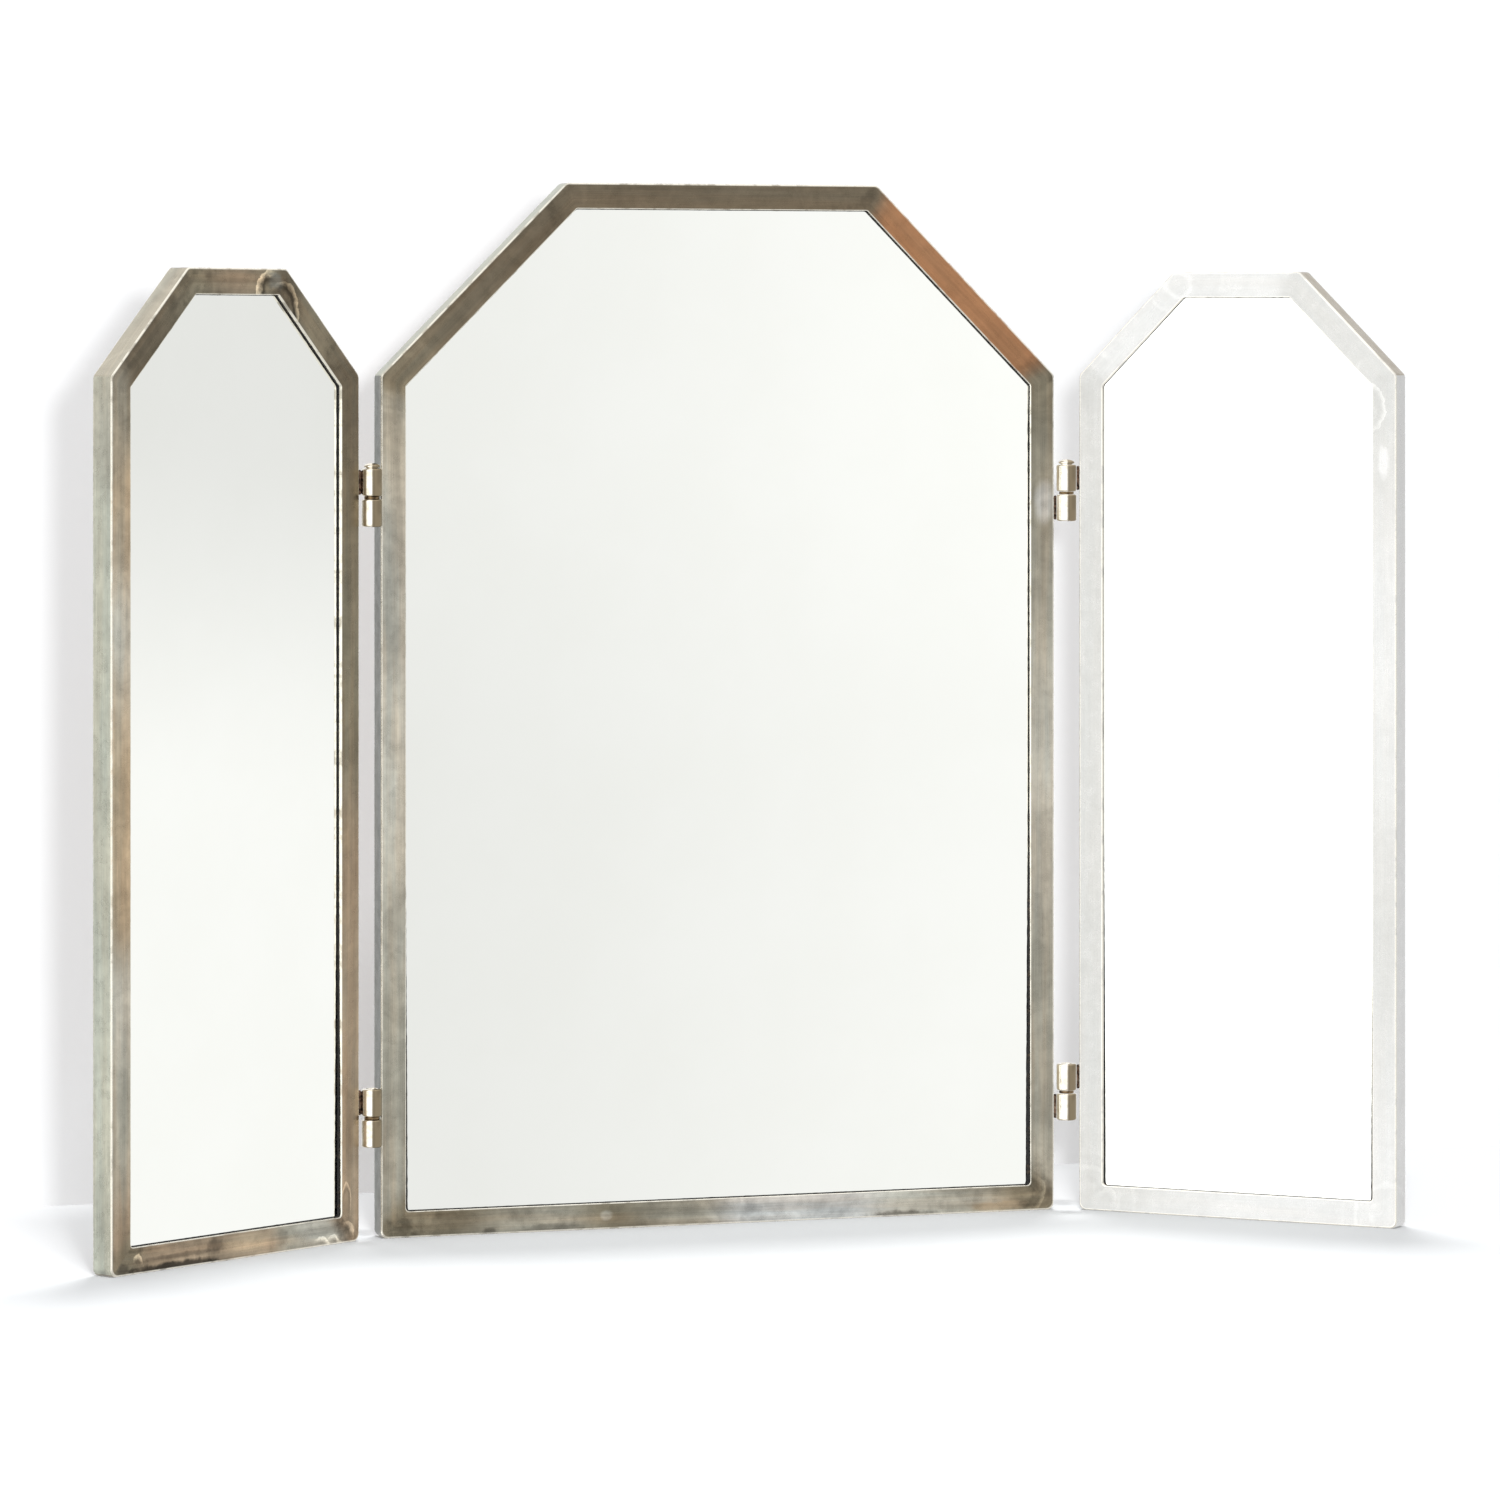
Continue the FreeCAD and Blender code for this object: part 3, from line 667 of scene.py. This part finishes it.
def makeSealantAndShade(prefix, panel):
    # a black bead in the angle between the pane and the bars, partly sealant and partly painted shade
    # that darkens the shadow gap along the lip
    look = sealantAndShadeLook
    points = [(barWidth + look["width"] * y, barThickness - look["height"] * x)
              for x, y in arc(0, pi / 2, look["steps"])] + [(barWidth, barThickness)]
    section = [(Vector(point), look["planRadius"], 0.0) for point in points]
    middle = panel["front"] + barThickness

    def ragged(spot, outward):
        size = noise.noise(spot / look["raggedLength"]) * look["ragged"]
        if abs(outward.x) > abs(outward.y):  # the painted shade widens towards the stiles' feet
            size += look["footWidening"] * eased(1 - spot.z / look["footWideningHeight"]) * abs(outward.x)
        toFront, toSide = outward.y < -look["tolerance"], hypot(outward.x, outward.z) > look["sideways"]
        if toFront or toSide and abs(spot.y - middle) > look["tolerance"]:
            return spot + outward * size
        return spot

    stations = barStations(panel, barLook, look["stationSpacing"])
    rings, places = sweep(panel, section, stations, ragged)
    mesh = rawMesh(prefix + "_sealant", places, skin(len(rings), len(section), len(rings)))
    mesh.set_sharp_from_angle(angle=radians(look["sharp"]))
    addPiece(mesh, prefix, ["blackSealant"])


for prefix, panel in panels.items():
    makeBars(prefix, panel)
    makeSealantAndShade(prefix, panel)
print("bars and sealant made")


plateLook = {"flatAngle": 1, "easedAngle": 35, "easingSegments": 2}


def plateShape(panel, outline, hole, depth, thickness, easing):
    # a flat plate with eased edges, from outlines of (x, z) in the flat panel
    look, shape, edges = plateLook, bmesh.new(), []
    for loop in (outline, hole):
        corners = [shape.verts.new((x, panel["front"] + depth, z)) for x, z in loop]
        edges += [shape.edges.new((corners[i - 1], corners[i])) for i in range(len(corners))]
    bmesh.ops.triangle_fill(shape, use_beauty=True, edges=edges, normal=(0, -1, 0))
    bmesh.ops.dissolve_limit(shape, angle_limit=radians(look["flatAngle"]), verts=shape.verts[:],
                             edges=shape.edges[:])
    pushed = bmesh.ops.extrude_face_region(shape, geom=shape.faces[:])
    moved = [item for item in pushed["geom"] if isinstance(item, bmesh.types.BMVert)]
    bmesh.ops.translate(shape, vec=(0, thickness, 0), verts=moved)
    bmesh.ops.recalc_face_normals(shape, faces=shape.faces[:])
    sharp = [edge for edge in shape.edges
             if len(edge.link_faces) == 2 and edge.calc_face_angle() > radians(look["easedAngle"])]
    bmesh.ops.bevel(shape, geom=sharp, offset=easing, segments=look["easingSegments"], profile=0.5,
                    affect="EDGES")
    return shape


def foldShape(shape, panel):
    for vertex in shape.verts:
        vertex.co = folded(panel, *vertex.co)
    return shape


def join(target, source):
    mesh = bpy.data.meshes.new("part")
    source.to_mesh(mesh)
    source.free()
    target.from_mesh(mesh)
    bpy.data.meshes.remove(mesh)


weldLook = {"step": 0.4, "rippleLength": 1.7, "ripple": 0.10, "lump": 0.22, "lumpScale": 0.7,
            "lumpAlong": 0.55, "lumpAround": 1.3}


def weldRun(start, end, radius, seed, turns=14):
    # a ragged bead from start to end, in millimetres, with ripples and closed ends
    look = weldLook
    start, end = Vector(start), Vector(end)
    length = (end - start).length
    axis = (end - start) / length
    side = axis.orthogonal().normalized()
    other = axis.cross(side)
    steps = max(8, round(length / look["step"]))
    shape = bmesh.new()
    rows = []
    for step in range(1, steps):
        along = length * step / steps
        taper = min(1.0, (min(along, length - along) / radius) ** 0.5)
        ripple = 1 + look["ripple"] * abs(sin(pi * along / look["rippleLength"]))
        row = []
        for x, y in arc(0, 2 * pi, turns)[:-1]:
            out = side * x + other * y
            rough = noise.noise(start * look["lumpScale"] + axis * along * look["lumpAlong"]
                                + out * look["lumpAround"] + Vector((seed, 0, seed)))
            reach = radius * taper * (ripple + look["lump"] * rough)
            row.append(shape.verts.new(start + axis * along + out * reach))
        rows.append(row)
    rows = [[shape.verts.new(start)], *rows, [shape.verts.new(end)]]
    for near, far in zip(rows, rows[1:]):
        for face in bridge(shape, near, far):
            face.material_index = 1
    bmesh.ops.recalc_face_normals(shape, faces=shape.faces[:])
    return shape


glazingLook = {"paneThickness": 4, "padThickness": 1, "boardThickness": 4, "gap": 4.2, "gapRound": 0.5,
               "padEdge": 0.15, "boardEdge": 0.5, "silverDepth": 0.8, "rimInset": 18.85, "rimRound": 3.4,
               "bendSteps": 8, "sharp": 20}


def makePane(prefix, panel):
    # the reflecting face lies where the silver behind the glass appears to lie, inside a black rim of
    # painted shade that stands for the shadow between the lip and the glass
    look = glazingLook
    outer, rim = (look["gap"], look["gapRound"]), (look["rimInset"], look["rimRound"])
    rows = ((*outer, barThickness + look["paneThickness"]), (*outer, barThickness), (*rim, barThickness),
            (*rim, barThickness + look["silverDepth"]))
    shape = bmesh.new()
    rings = []
    for inset, rounding, depth in rows:
        corners = panelCorners(panel, inset)
        places = [bend(corners, corner, share, rounding)[0] for corner in range(6)
                  for share in evenly(0, 1, look["bendSteps"])]
        rings.append([shape.verts.new(folded(panel, place.x, panel["front"] + depth, place.y))
                      for place in places])
    for row, (near, far) in enumerate(zip(rings, rings[1:])):
        for face in bridge(shape, near, far):
            face.material_index = min(row, 1)
    shape.faces.new(rings[0])
    shape.faces.new(rings[-1])
    bmesh.ops.recalc_face_normals(shape, faces=shape.faces[:])
    node = prefix + "_mirror_glass"
    addPiece(meshFrom(node + "_pane", shape, look["sharp"]), prefix,
             ["silveredGlass", "blackSealant"], node)


def makeGlazing(prefix, panel):
    look = glazingLook
    makePane(prefix, panel)
    outline = [tuple(corner) for corner in panelCorners(panel, look["gap"])]
    depth = barThickness + look["paneThickness"]
    for name, thickness, edge, slot, finish in (
            ("glazing_pad", look["padThickness"], look["padEdge"], "foam", "foamSheet"),
            ("backing_board", look["boardThickness"], look["boardEdge"], "board", "hardboard")):
        node = prefix + "_" + name
        shape = foldShape(plateShape(panel, outline, [], depth, thickness, edge), panel)
        addPiece(meshFrom(node + "_sheet", shape, look["sharp"]), prefix, [finish], node)
        depth += thickness


tabLook = {"length": 16, "reach": 12, "thickness": 1.5, "corner": 3, "stileInset": 140, "railOffset": 120,
           "easing": 0.3, "weldRadius": 1.1, "weldInset": 1.5, "weldIn": 0.5, "weldSeed": 5.1,
           "depth": 12.2, "screwIn": 6}


def tabStations(prefix, panel):
    # the middle of each tab's root and the way the tab points from there
    left, right = panel["left"] + barThickness, panel["right"] - barThickness
    middle = (left + right) / 2
    for height in (tabLook["stileInset"], shoulderHeight - tabLook["stileInset"]):
        yield Vector((left, height)), Vector((1, 0))
        yield Vector((right, height)), Vector((-1, 0))
    for offset in ((-tabLook["railOffset"], tabLook["railOffset"]) if prefix == "centre" else (0,)):
        yield Vector((middle + offset, barThickness)), Vector((0, 1))
    yield Vector((middle, shoulderHeight + panel["chamfer"] - barThickness)), Vector((0, -1))


def makeTabs(prefix, panel):
    look = tabLook
    whole = bmesh.new()
    half, reach = look["length"] / 2, look["reach"]
    clipped, straight, weldEnd = half - look["corner"], reach - look["corner"], half - look["weldInset"]
    for number, (root, out) in enumerate(tabStations(prefix, panel)):
        side = Vector((-out.y, out.x))
        outline = [tuple(root + side * across + out * along) for across, along in (
            (-half, 0), (half, 0), (half, straight), (clipped, reach), (-clipped, reach),
            (-half, straight))]
        join(whole, plateShape(panel, outline, [], look["depth"], look["thickness"], look["easing"]))
        depth = panel["front"] + look["depth"] + look["thickness"]
        ends = [root + side * across + out * look["weldIn"] for across in (-weldEnd, weldEnd)]
        join(whole, weldRun(*((end.x, depth, end.y) for end in ends), look["weldRadius"],
                            number * look["weldSeed"]))
    node = prefix + "_retaining_tabs"
    addPiece(meshFrom(node + "_set", foldShape(whole, panel)), prefix,
             ["platedSteel", "weldMetal"], node)


for prefix, panel in panels.items():
    makeGlazing(prefix, panel)
    makeTabs(prefix, panel)
print("panes, pads, boards and tabs made")


hangerLook = {"leg": 80, "thickness": 2, "easing": 0.35, "entryRadius": 5, "entrySteps": 24,
              "slot": 2.5, "slotSteps": 12, "rise": 11, "in": 15, "drop": 6, "tackLength": 14,
              "tackRadius": 1.3, "tackDepth": 1.75, "fromBack": 0.01, "stileTacks": (22, -14),
              "stileIn": 0.6, "stileSeed": 3, "chamferTacks": (0.3, 0.74), "chamferIn": 0.4,
              "chamferDown": 0.6, "chamferSeed": 31, "nextSeed": 9, "sharp": 30}


def makeHanger(side, sign):
    look, panel = hangerLook, panels["centre"]
    legX = sign * (panel["right"] - barThickness)
    cornerZ = shoulderHeight - barThickness * mitreLean
    run = look["leg"] * cos(radians(45))
    outline = [(legX, cornerZ - look["leg"]), (legX, cornerZ), (legX - sign * run, cornerZ + run)]
    holeX, holeZ = legX - sign * look["in"], cornerZ - look["drop"]
    opening = atan2(look["slot"], (look["entryRadius"] ** 2 - look["slot"] ** 2) ** 0.5)
    hole = []
    for radius, rise, start, end, steps in (  # round entry, open at the top, and the slot's end
            (look["entryRadius"], 0, pi / 2 + opening, 5 * pi / 2 - opening, look["entrySteps"]),
            (look["slot"], look["rise"], 0, pi, look["slotSteps"])):
        hole += [(holeX + radius * x, holeZ + rise + radius * y) for x, y in arc(start, end, steps)]
    depth = barWidth - look["fromBack"] - look["thickness"]
    shape = plateShape(panel, outline, hole, depth, look["thickness"], look["easing"])
    back, half = panel["front"] + barWidth - look["tackDepth"], look["tackLength"] / 2
    tacks = [(legX - sign * look["stileIn"], cornerZ - look["leg"] / 2 + height, 0, look["stileSeed"])
             for height in look["stileTacks"]]
    tacks += [(legX - sign * (run * share + look["chamferIn"]), cornerZ + run * share
               - look["chamferDown"], -sign, look["chamferSeed"]) for share in look["chamferTacks"]]
    for number, (x, z, lean, seed) in enumerate(tacks):
        middle, way = Vector((x, z)), Vector((lean, 1)).normalized()
        ends = ((end.x, back, end.y) for end in (middle - way * half, middle + way * half))
        join(shape, weldRun(*ends, look["tackRadius"], seed + number % 2 * look["nextSeed"] + sign))
    node = side + "_hanger_plate"
    addPiece(meshFrom(node + "_gusset", foldShape(shape, panel), look["sharp"]), "centre",
             ["platedSteel", "weldMetal"], node)


makeHanger("left", -1)
makeHanger("right", 1)


hingeLook = {
    "barrelRadius": 7.5, "knuckleLength": 20, "endRound": 1.5, "boreRound": 0.5, "tightBore": 4.02,
    "runningBore": 4.08, "washerRadius": 5.5, "washerThickness": 2, "washerRound": 0.35,
    "washerBoreRound": 0.2, "play": 0.1, "pinRadius": 4, "pinRound": 0.5, "pinRecess": 0.5,
    "headRadius": 6.0, "headHeight": 3.8, "headRim": 1.2, "headRound": 0.3, "headPlay": 0.2,
    "headSteps": 12, "neckRadius": 4.7, "neckHeight": 0.6, "heights": {"lower": 88, "upper": 534},
    "weldRadius": 1.5, "weldInset": 0.9, "weldReach": 8.9, "weldAngle": 40, "weldTurns": 20,
    # where the painted shade lies round each turned part, in degrees from the front towards the right,
    # and how softly it fades
    "filmStart": -17, "filmEnd": 58, "filmBlend": 9, "segments": 72,
}


def turned(profile, segments, closed):
    # turns (radius, height) points about Z; an open profile starts and ends on the axis
    shape, spokes = bmesh.new(), arc(0, 2 * pi, segments)[:-1]
    rows = [[shape.verts.new((radius * x, radius * y, height))
             for x, y in (spokes if radius else [(0, 0)])] for radius, height in profile]
    for near, far in zip(rows, rows[1:] + (rows[:1] if closed else [])):
        bridge(shape, near, far)
    bmesh.ops.recalc_face_normals(shape, faces=shape.faces[:])
    return shape


def quarter(radius, height, rounding, outwards, upwards, steps=5):
    # the rounded corner at (radius, height) of a turned profile, going round from side to end
    return [(radius - outwards * rounding * (1 - x), height - upwards * rounding * (1 - y))
            for x, y in arc(0, pi / 2, steps)]


def tube(outer, bore, low, high, outerRound, boreRound):
    profile = quarter(outer, low, outerRound, 1, -1)[::-1] + quarter(outer, high, outerRound, 1, 1)
    profile += quarter(bore, high, boreRound, -1, 1)[::-1] + quarter(bore, low, boreRound, -1, -1)
    return turned(profile, hingeLook["segments"], True)


def addTurned(node, shape, axis, body, materials):
    # put on the hinge's axis, with brown painted as shade on its front and right, away from the bright
    # light on the left
    look, film = hingeLook, []
    for vertex in shape.verts:
        vertex.co = (vertex.co + axis) * mm
    mesh = meshFrom(node + "_turned", shape)
    for vertex in mesh.vertices:
        way = degrees(atan2(vertex.co.x - axis.x * mm, axis.y * mm - vertex.co.y))
        film.append(eased((way - look["filmStart"]) / look["filmBlend"])
                    * eased((look["filmEnd"] - way) / look["filmBlend"]))
    mesh.attributes.new("film", "FLOAT", "POINT").data.foreach_set("value", film)
    addPiece(mesh, body, materials, node)


def makeKnuckle(name, body, axis, low, weldAngle, bore, seed):
    # the angle is that of the weld at the bar's side, seen from above and counted from the right
    look = hingeLook
    high = low + look["knuckleLength"]
    shape = tube(look["barrelRadius"], bore, low, high, look["endRound"], look["boreRound"])
    x, y = cos(weldAngle) * look["weldReach"], sin(weldAngle) * look["weldReach"]
    join(shape, weldRun((x, y, low + look["weldInset"]), (x, y, high - look["weldInset"]),
                        look["weldRadius"], seed, look["weldTurns"]))
    addTurned(name, shape, axis, body, ["polishedNickel", "weldMetal"])


def pinShape(foot, top, crowned):
    look = hingeLook
    radius, rounding, head = look["pinRadius"], look["pinRound"], look["headRadius"]
    profile = [(0, foot)] + quarter(radius, foot, rounding, 1, -1)[::-1]
    if not crowned:
        top -= look["pinRecess"]
        profile += quarter(radius, top, rounding, 1, 1) + [(0, top)]
        return turned(profile, look["segments"], False)
    seat = top + look["headPlay"]
    under = seat + look["neckHeight"]
    profile += [(radius, seat), (look["neckRadius"], seat), (look["neckRadius"], under),
                (head - look["headRound"], under), (head, under + look["headRound"])]
    profile += [(head * x, seat + look["headRim"] + (look["headHeight"] - look["headRim"]) * y)
                for x, y in arc(0, pi / 2, look["headSteps"])[:-1]]
    return turned(profile + [(0, seat + look["headHeight"])], look["segments"], False)


def makeHinge(side, sign, level, middle):
    look, wing = hingeLook, panels[side + "_wing"]
    name = side + "_" + level + "_hinge"
    axis = Vector((wing["hingeX"], hingeLineY, 0))
    towardWing = radians(90 - sign * (90 - look["weldAngle"]))
    washerLow, washerHigh = middle - look["washerThickness"] / 2, middle + look["washerThickness"] / 2
    frameLow, wingLow = washerLow - look["knuckleLength"], washerHigh + look["play"]
    makeKnuckle(name + "_frame_knuckle", "centre", axis, frameLow, pi - towardWing, look["tightBore"],
                middle + sign)
    makeKnuckle(name + "_wing_knuckle", side + "_wing", axis, wingLow,
                towardWing + radians(wing["fold"]), look["runningBore"], middle + 5 * sign)
    washer = tube(look["washerRadius"], look["runningBore"], washerLow, washerHigh, look["washerRound"],
                  look["washerBoreRound"])
    addTurned(name + "_washer", washer, axis, "centre", ["turnedBrass"])
    pin = pinShape(frameLow + look["pinRecess"], wingLow + look["knuckleLength"], level == "upper")
    addTurned(name + "_pin", pin, axis, "centre", ["polishedNickel"])


for side, sign in (("left", -1), ("right", 1)):
    for level, middle in hingeLook["heights"].items():
        makeHinge(side, sign, level, middle)
print("hinges and hanger plates made")


screwLook = {"headRadius": 3.3, "headHeight": 2.0, "rimHeight": 0.5, "footEdge": 0.2, "domeSteps": 8,
             "domeFlatness": 0.7, "recessWidth": 0.9, "recessReach": 1.9, "recessDepth": 1.3,
             "recessTaper": 0.55, "overcut": 0.5, "segments": 32, "sharp": 35, "headSize": 1.0, "seed": 5}


def screwHead():
    look = screwLook
    radius, height = look["headRadius"], look["headHeight"]
    profile = [(0, 0), (radius - look["footEdge"], 0), (radius, look["footEdge"])]
    profile += [(radius * x ** look["domeFlatness"], look["rimHeight"] + (height - look["rimHeight"]) * y)
                for x, y in arc(0, pi / 2, look["domeSteps"])[:-1]]
    shape = turned(profile + [(0, height)], look["segments"], False)
    head = addObject("screwHead", meshFrom("screwHead", shape))
    cutter = bmesh.new()
    reach, half = look["recessReach"], look["recessWidth"] / 2
    for along, across in ((reach, half), (half, reach)):
        low, high = ([cutter.verts.new((x * along * size, y * across * size, z))
                      for x, y in ((-1, -1), (1, -1), (1, 1), (-1, 1))]
                     for size, z in ((look["recessTaper"], height - look["recessDepth"]),
                                     (1, height + look["overcut"])))
        cutter.faces.new(low[::-1])
        cutter.faces.new(high)
        bridge(cutter, low, high)
    cross = addObject("screwCross", meshFrom("screwCross", cutter))
    cut = head.modifiers.new("recess", "BOOLEAN")
    cut.object, cut.operation, cut.solver, cut.use_self = cross, "DIFFERENCE", "EXACT", True
    mesh = bpy.data.meshes.new_from_object(head.evaluated_get(bpy.context.evaluated_depsgraph_get()))
    head.modifiers.clear()
    head.data = mesh
    mesh.transform(Matrix.Scale(mm, 4))
    mesh.set_sharp_from_angle(angle=radians(look["sharp"]))
    bpy.data.objects.remove(cross)
    return head


def screwTree():
    tree = bpy.data.node_groups.new("tabScrews", "GeometryNodeTree")
    tree.interface.new_socket("Geometry", in_out="OUTPUT", socket_type="NodeSocketGeometry")
    for name, kind in (("Stations", "Geometry"), ("Screw", "Object"), ("Fold", "Float"),
                       ("Head size", "Float"), ("Finish", "Material")):
        tree.interface.new_socket(name, in_out="INPUT", socket_type="NodeSocket" + kind)
    given = addNode(tree, "NodeGroupInput").outputs
    screw = addNode(tree, "GeometryNodeObjectInfo", {"Object": given["Screw"]}).outputs["Geometry"]
    # the head's own axis turned to face backwards, and the recess turned by chance
    facing = addNode(tree, "ShaderNodeCombineXYZ", {"X": -pi / 2, "Z": given["Fold"]}).outputs[0]
    placed = addNode(tree, "GeometryNodeInstanceOnPoints", {
        "Points": given["Stations"], "Instance": screw, "Rotation": facing,
        "Scale": given["Head size"]}).outputs[0]
    chance = addNode(tree, "FunctionNodeRandomValue", {2: 0.0, 3: pi, "Seed": screwLook["seed"]},
                     data_type="FLOAT").outputs[1]
    spin = addNode(tree, "ShaderNodeCombineXYZ", {"Z": chance}).outputs[0]
    spun = addNode(tree, "GeometryNodeRotateInstances", {
        "Instances": placed, "Rotation": spin, "Local Space": True}).outputs[0]
    real = addNode(tree, "GeometryNodeRealizeInstances", {0: spun}).outputs[0]
    done = addNode(tree, "GeometryNodeSetMaterial", {"Geometry": real, "Material": given["Finish"]})
    addNode(tree, "NodeGroupOutput", {0: done.outputs[0]})
    return tree


def makeScrews():
    head, tree = screwHead(), screwTree()
    sockets = {item.name: item.identifier for item in tree.interface.items_tree
               if item.in_out == "INPUT"}
    for prefix, panel in panels.items():
        depth = panel["front"] + tabLook["depth"] + tabLook["thickness"]
        spots = [root + out * tabLook["screwIn"] for root, out in tabStations(prefix, panel)]
        name = prefix + "_screw_points"
        places = [folded(panel, spot.x, depth, spot.y) for spot in spots]
        carrier = addObject(name, rawMesh(name, places, []))
        layer = carrier.modifiers.new("screws", "NODES")
        layer.node_group = tree
        for name, given in (("Screw", head), ("Fold", radians(panel["fold"])),
                            ("Head size", screwLook["headSize"]), ("Finish", finishes["zincScrew"])):
            layer[sockets[name]] = given
        bpy.context.view_layer.update()
        evaluated = carrier.evaluated_get(bpy.context.evaluated_depsgraph_get())
        mesh = bpy.data.meshes.new_from_object(evaluated)
        carrier.modifiers.clear()
        bpy.data.objects.remove(carrier)
        mesh.materials.clear()
        mesh.name = prefix + "_tab_screws"
        addPiece(mesh, prefix, ["zincScrew"])
    bpy.data.objects.remove(head)


makeScrews()
print("screws made")


stageLook = {"floorSize": 9.0, "wallY": 0.25, "wallWidth": 14.0, "wallHeight": 9.0,
             "tone": (0.49, 0.50, 0.51), "floorGlow": 0.09, "wallGlow": 0.37}


def stageSheet(name, corners, material):
    mesh = rawMesh(name, corners, [(0, 1, 2, 3)])
    mesh.materials.append(material)
    sheet = addObject(name, mesh)
    return sheet


def emptyTree(owner):  # the nodes of a material or a world, cleared
    owner.use_nodes = True
    owner.node_tree.nodes.clear()
    return owner.node_tree


def startStage(name):
    material = bpy.data.materials.new(name)
    tree = emptyTree(material)
    return material, tree, addNode(tree, "ShaderNodeLightPath").outputs["Is Camera Ray"]


def stagePaint(tree, glow):  # dull, with a little light of its own
    dull = addNode(tree, "ShaderNodeBsdfDiffuse", {"Color": stageLook["tone"]})
    light = addNode(tree, "ShaderNodeEmission", {"Strength": glow})
    return addNode(tree, "ShaderNodeAddShader", {0: dull.outputs[0], 1: light.outputs[0]}).outputs[0]


def makeStage():
    look = stageLook
    material, tree, seen = startStage("paleFloor")
    paint = stagePaint(tree, times(seen, look["floorGlow"]))
    addNode(tree, "ShaderNodeOutputMaterial", {0: paint})
    size = look["floorSize"]
    floor = stageSheet("floor", [(-size, -size, 0), (size, -size, 0), (size, size, 0),
                                 (-size, size, 0)], material)
    floor.visible_glossy = False  # the mirrors see the room's own low part, which has no horizon

    # the backdrop is there for the camera, from the front, and takes the shadows
    material, tree, seen = startStage("paleBackdrop")
    front = less(1.0, addNode(tree, "ShaderNodeNewGeometry").outputs["Backfacing"])
    clear = addNode(tree, "ShaderNodeBsdfTransparent").outputs[0]
    shown = addNode(tree, "ShaderNodeMixShader", {
        0: times(front, seen), 1: clear, 2: stagePaint(tree, look["wallGlow"])}).outputs[0]
    addNode(tree, "ShaderNodeOutputMaterial", {0: shown})
    width, height, depth = look["wallWidth"] / 2, look["wallHeight"], look["wallY"]
    stageSheet("backdrop", [(-width, depth, 0), (width, depth, 0), (width, depth, height),
                            (-width, depth, height)], material)


# soft light all round, a little greyer far to the right, with one large window of it on the left
roomLook = {"left": 0.90, "right": 1.05, "leftEdge": 0.26, "rightEdge": 0.37, "farRight": 0.79,
            "farEdge": 0.97, "low": 0.96, "lowAngle": -0.068, "highAngle": -0.008,
            "sky": (0.1, 0.9, 0.0, 0.6), "windowAngle": 54, "windowInner": 38, "windowOuter": 46,
            "windowLight": 0.9, "fill": 0.4}


def makeRoom():
    look = roomLook
    world = bpy.context.scene.world = bpy.data.worlds.new("studio")
    tree = emptyTree(world)
    way = addNode(tree, "ShaderNodeTexCoord").outputs["Generated"]
    x, _, z = addNode(tree, "ShaderNodeSeparateXYZ", {0: way}).outputs
    across = ranged(x, look["leftEdge"], look["rightEdge"], look["left"], look["right"])
    wall = ranged(x, look["rightEdge"], look["farEdge"], 1.0, look["farRight"])
    raised = ranged(z, look["lowAngle"], look["highAngle"])
    wall = plus(look["low"], times(raised, less(wall, look["low"])))
    sky = ranged(z, *look["sky"])
    angle = radians(look["windowAngle"])
    toWindow = addNode(tree, "ShaderNodeVectorMath", {0: way, 1: (-sin(angle), -cos(angle), 0)},
                       operation="DOT_PRODUCT").outputs["Value"]
    window = ranged(toWindow, cos(radians(look["windowOuter"])), cos(radians(look["windowInner"])), 0.0,
                    look["windowLight"])
    light = plus(times(across, wall), plus(sky, window))
    rays = addNode(tree, "ShaderNodeLightPath").outputs
    light = times(light, ranged(rays["Is Diffuse Ray"], 0.0, 1.0, 1.0, look["fill"]))
    seen = rays["Is Camera Ray"]
    back = addNode(tree, "ShaderNodeBackground", {
        "Color": (1, 1, 1), "Strength": plus(times(light, less(1.0, seen)), seen)})
    addNode(tree, "ShaderNodeOutputWorld", {0: back.outputs[0]})


# the lamps light the stage and the dull pieces, and show in no mirror
lampLooks = {
    "softKey": {"power": 104, "size": 0.24, "distance": 4.2, "left": 14.6, "up": 7.0,
                "aim": (0, 0.1, 0.35)},
    "topLight": {"power": 510, "size": 1.3, "distance": 8.0, "left": 203, "up": 79,
                 "aim": (0, 0, 0.3)},
    "frontLight": {"power": 335, "size": 0.8, "distance": 8.0, "left": 13, "up": 63.5,
                   "aim": (0, 0, 0.3)},
    "backLight": {"power": 45, "size": 1.2, "distance": 4.0, "left": 165, "up": 6,
                  "aim": (0, 0, 0.4)},
}


def makeLamp(name, look):
    light = bpy.data.lights.new(name, "AREA")
    light.energy, light.size, light.shape = look["power"], look["size"], "DISK"
    lamp = addObject(name, light)
    left, up = radians(look["left"]), radians(look["up"])
    way = Vector((-sin(left) * cos(up), -cos(left) * cos(up), sin(up)))
    lamp.location = Vector(look["aim"]) + way * look["distance"]
    lamp.rotation_euler = way.to_track_quat("Z", "Y").to_euler()
    lamp.visible_glossy = False


cameraLook = {"place": (-1.55242, -4.6569, 0.63542), "yaw": 18.7, "lens": 160.5, "sensor": 36.0,
              "rise": -0.2622, "clipEnd": 60}


def makeCamera():
    look = cameraLook
    data = bpy.data.cameras.new("viewCamera")
    data.lens, data.sensor_width, data.shift_y = look["lens"], look["sensor"], look["rise"]
    data.sensor_fit = "HORIZONTAL"
    data.clip_end = look["clipEnd"]
    camera = addObject("viewCamera", data)
    camera.location = look["place"]
    camera.rotation_euler = (pi / 2, 0, -radians(look["yaw"]))
    bpy.context.scene.camera = camera


makeStage()
makeRoom()
for name, look in lampLooks.items():
    makeLamp(name, look)
makeCamera()
bpy.context.scene.view_settings.view_transform = "Standard"
print("stage, light and camera made")
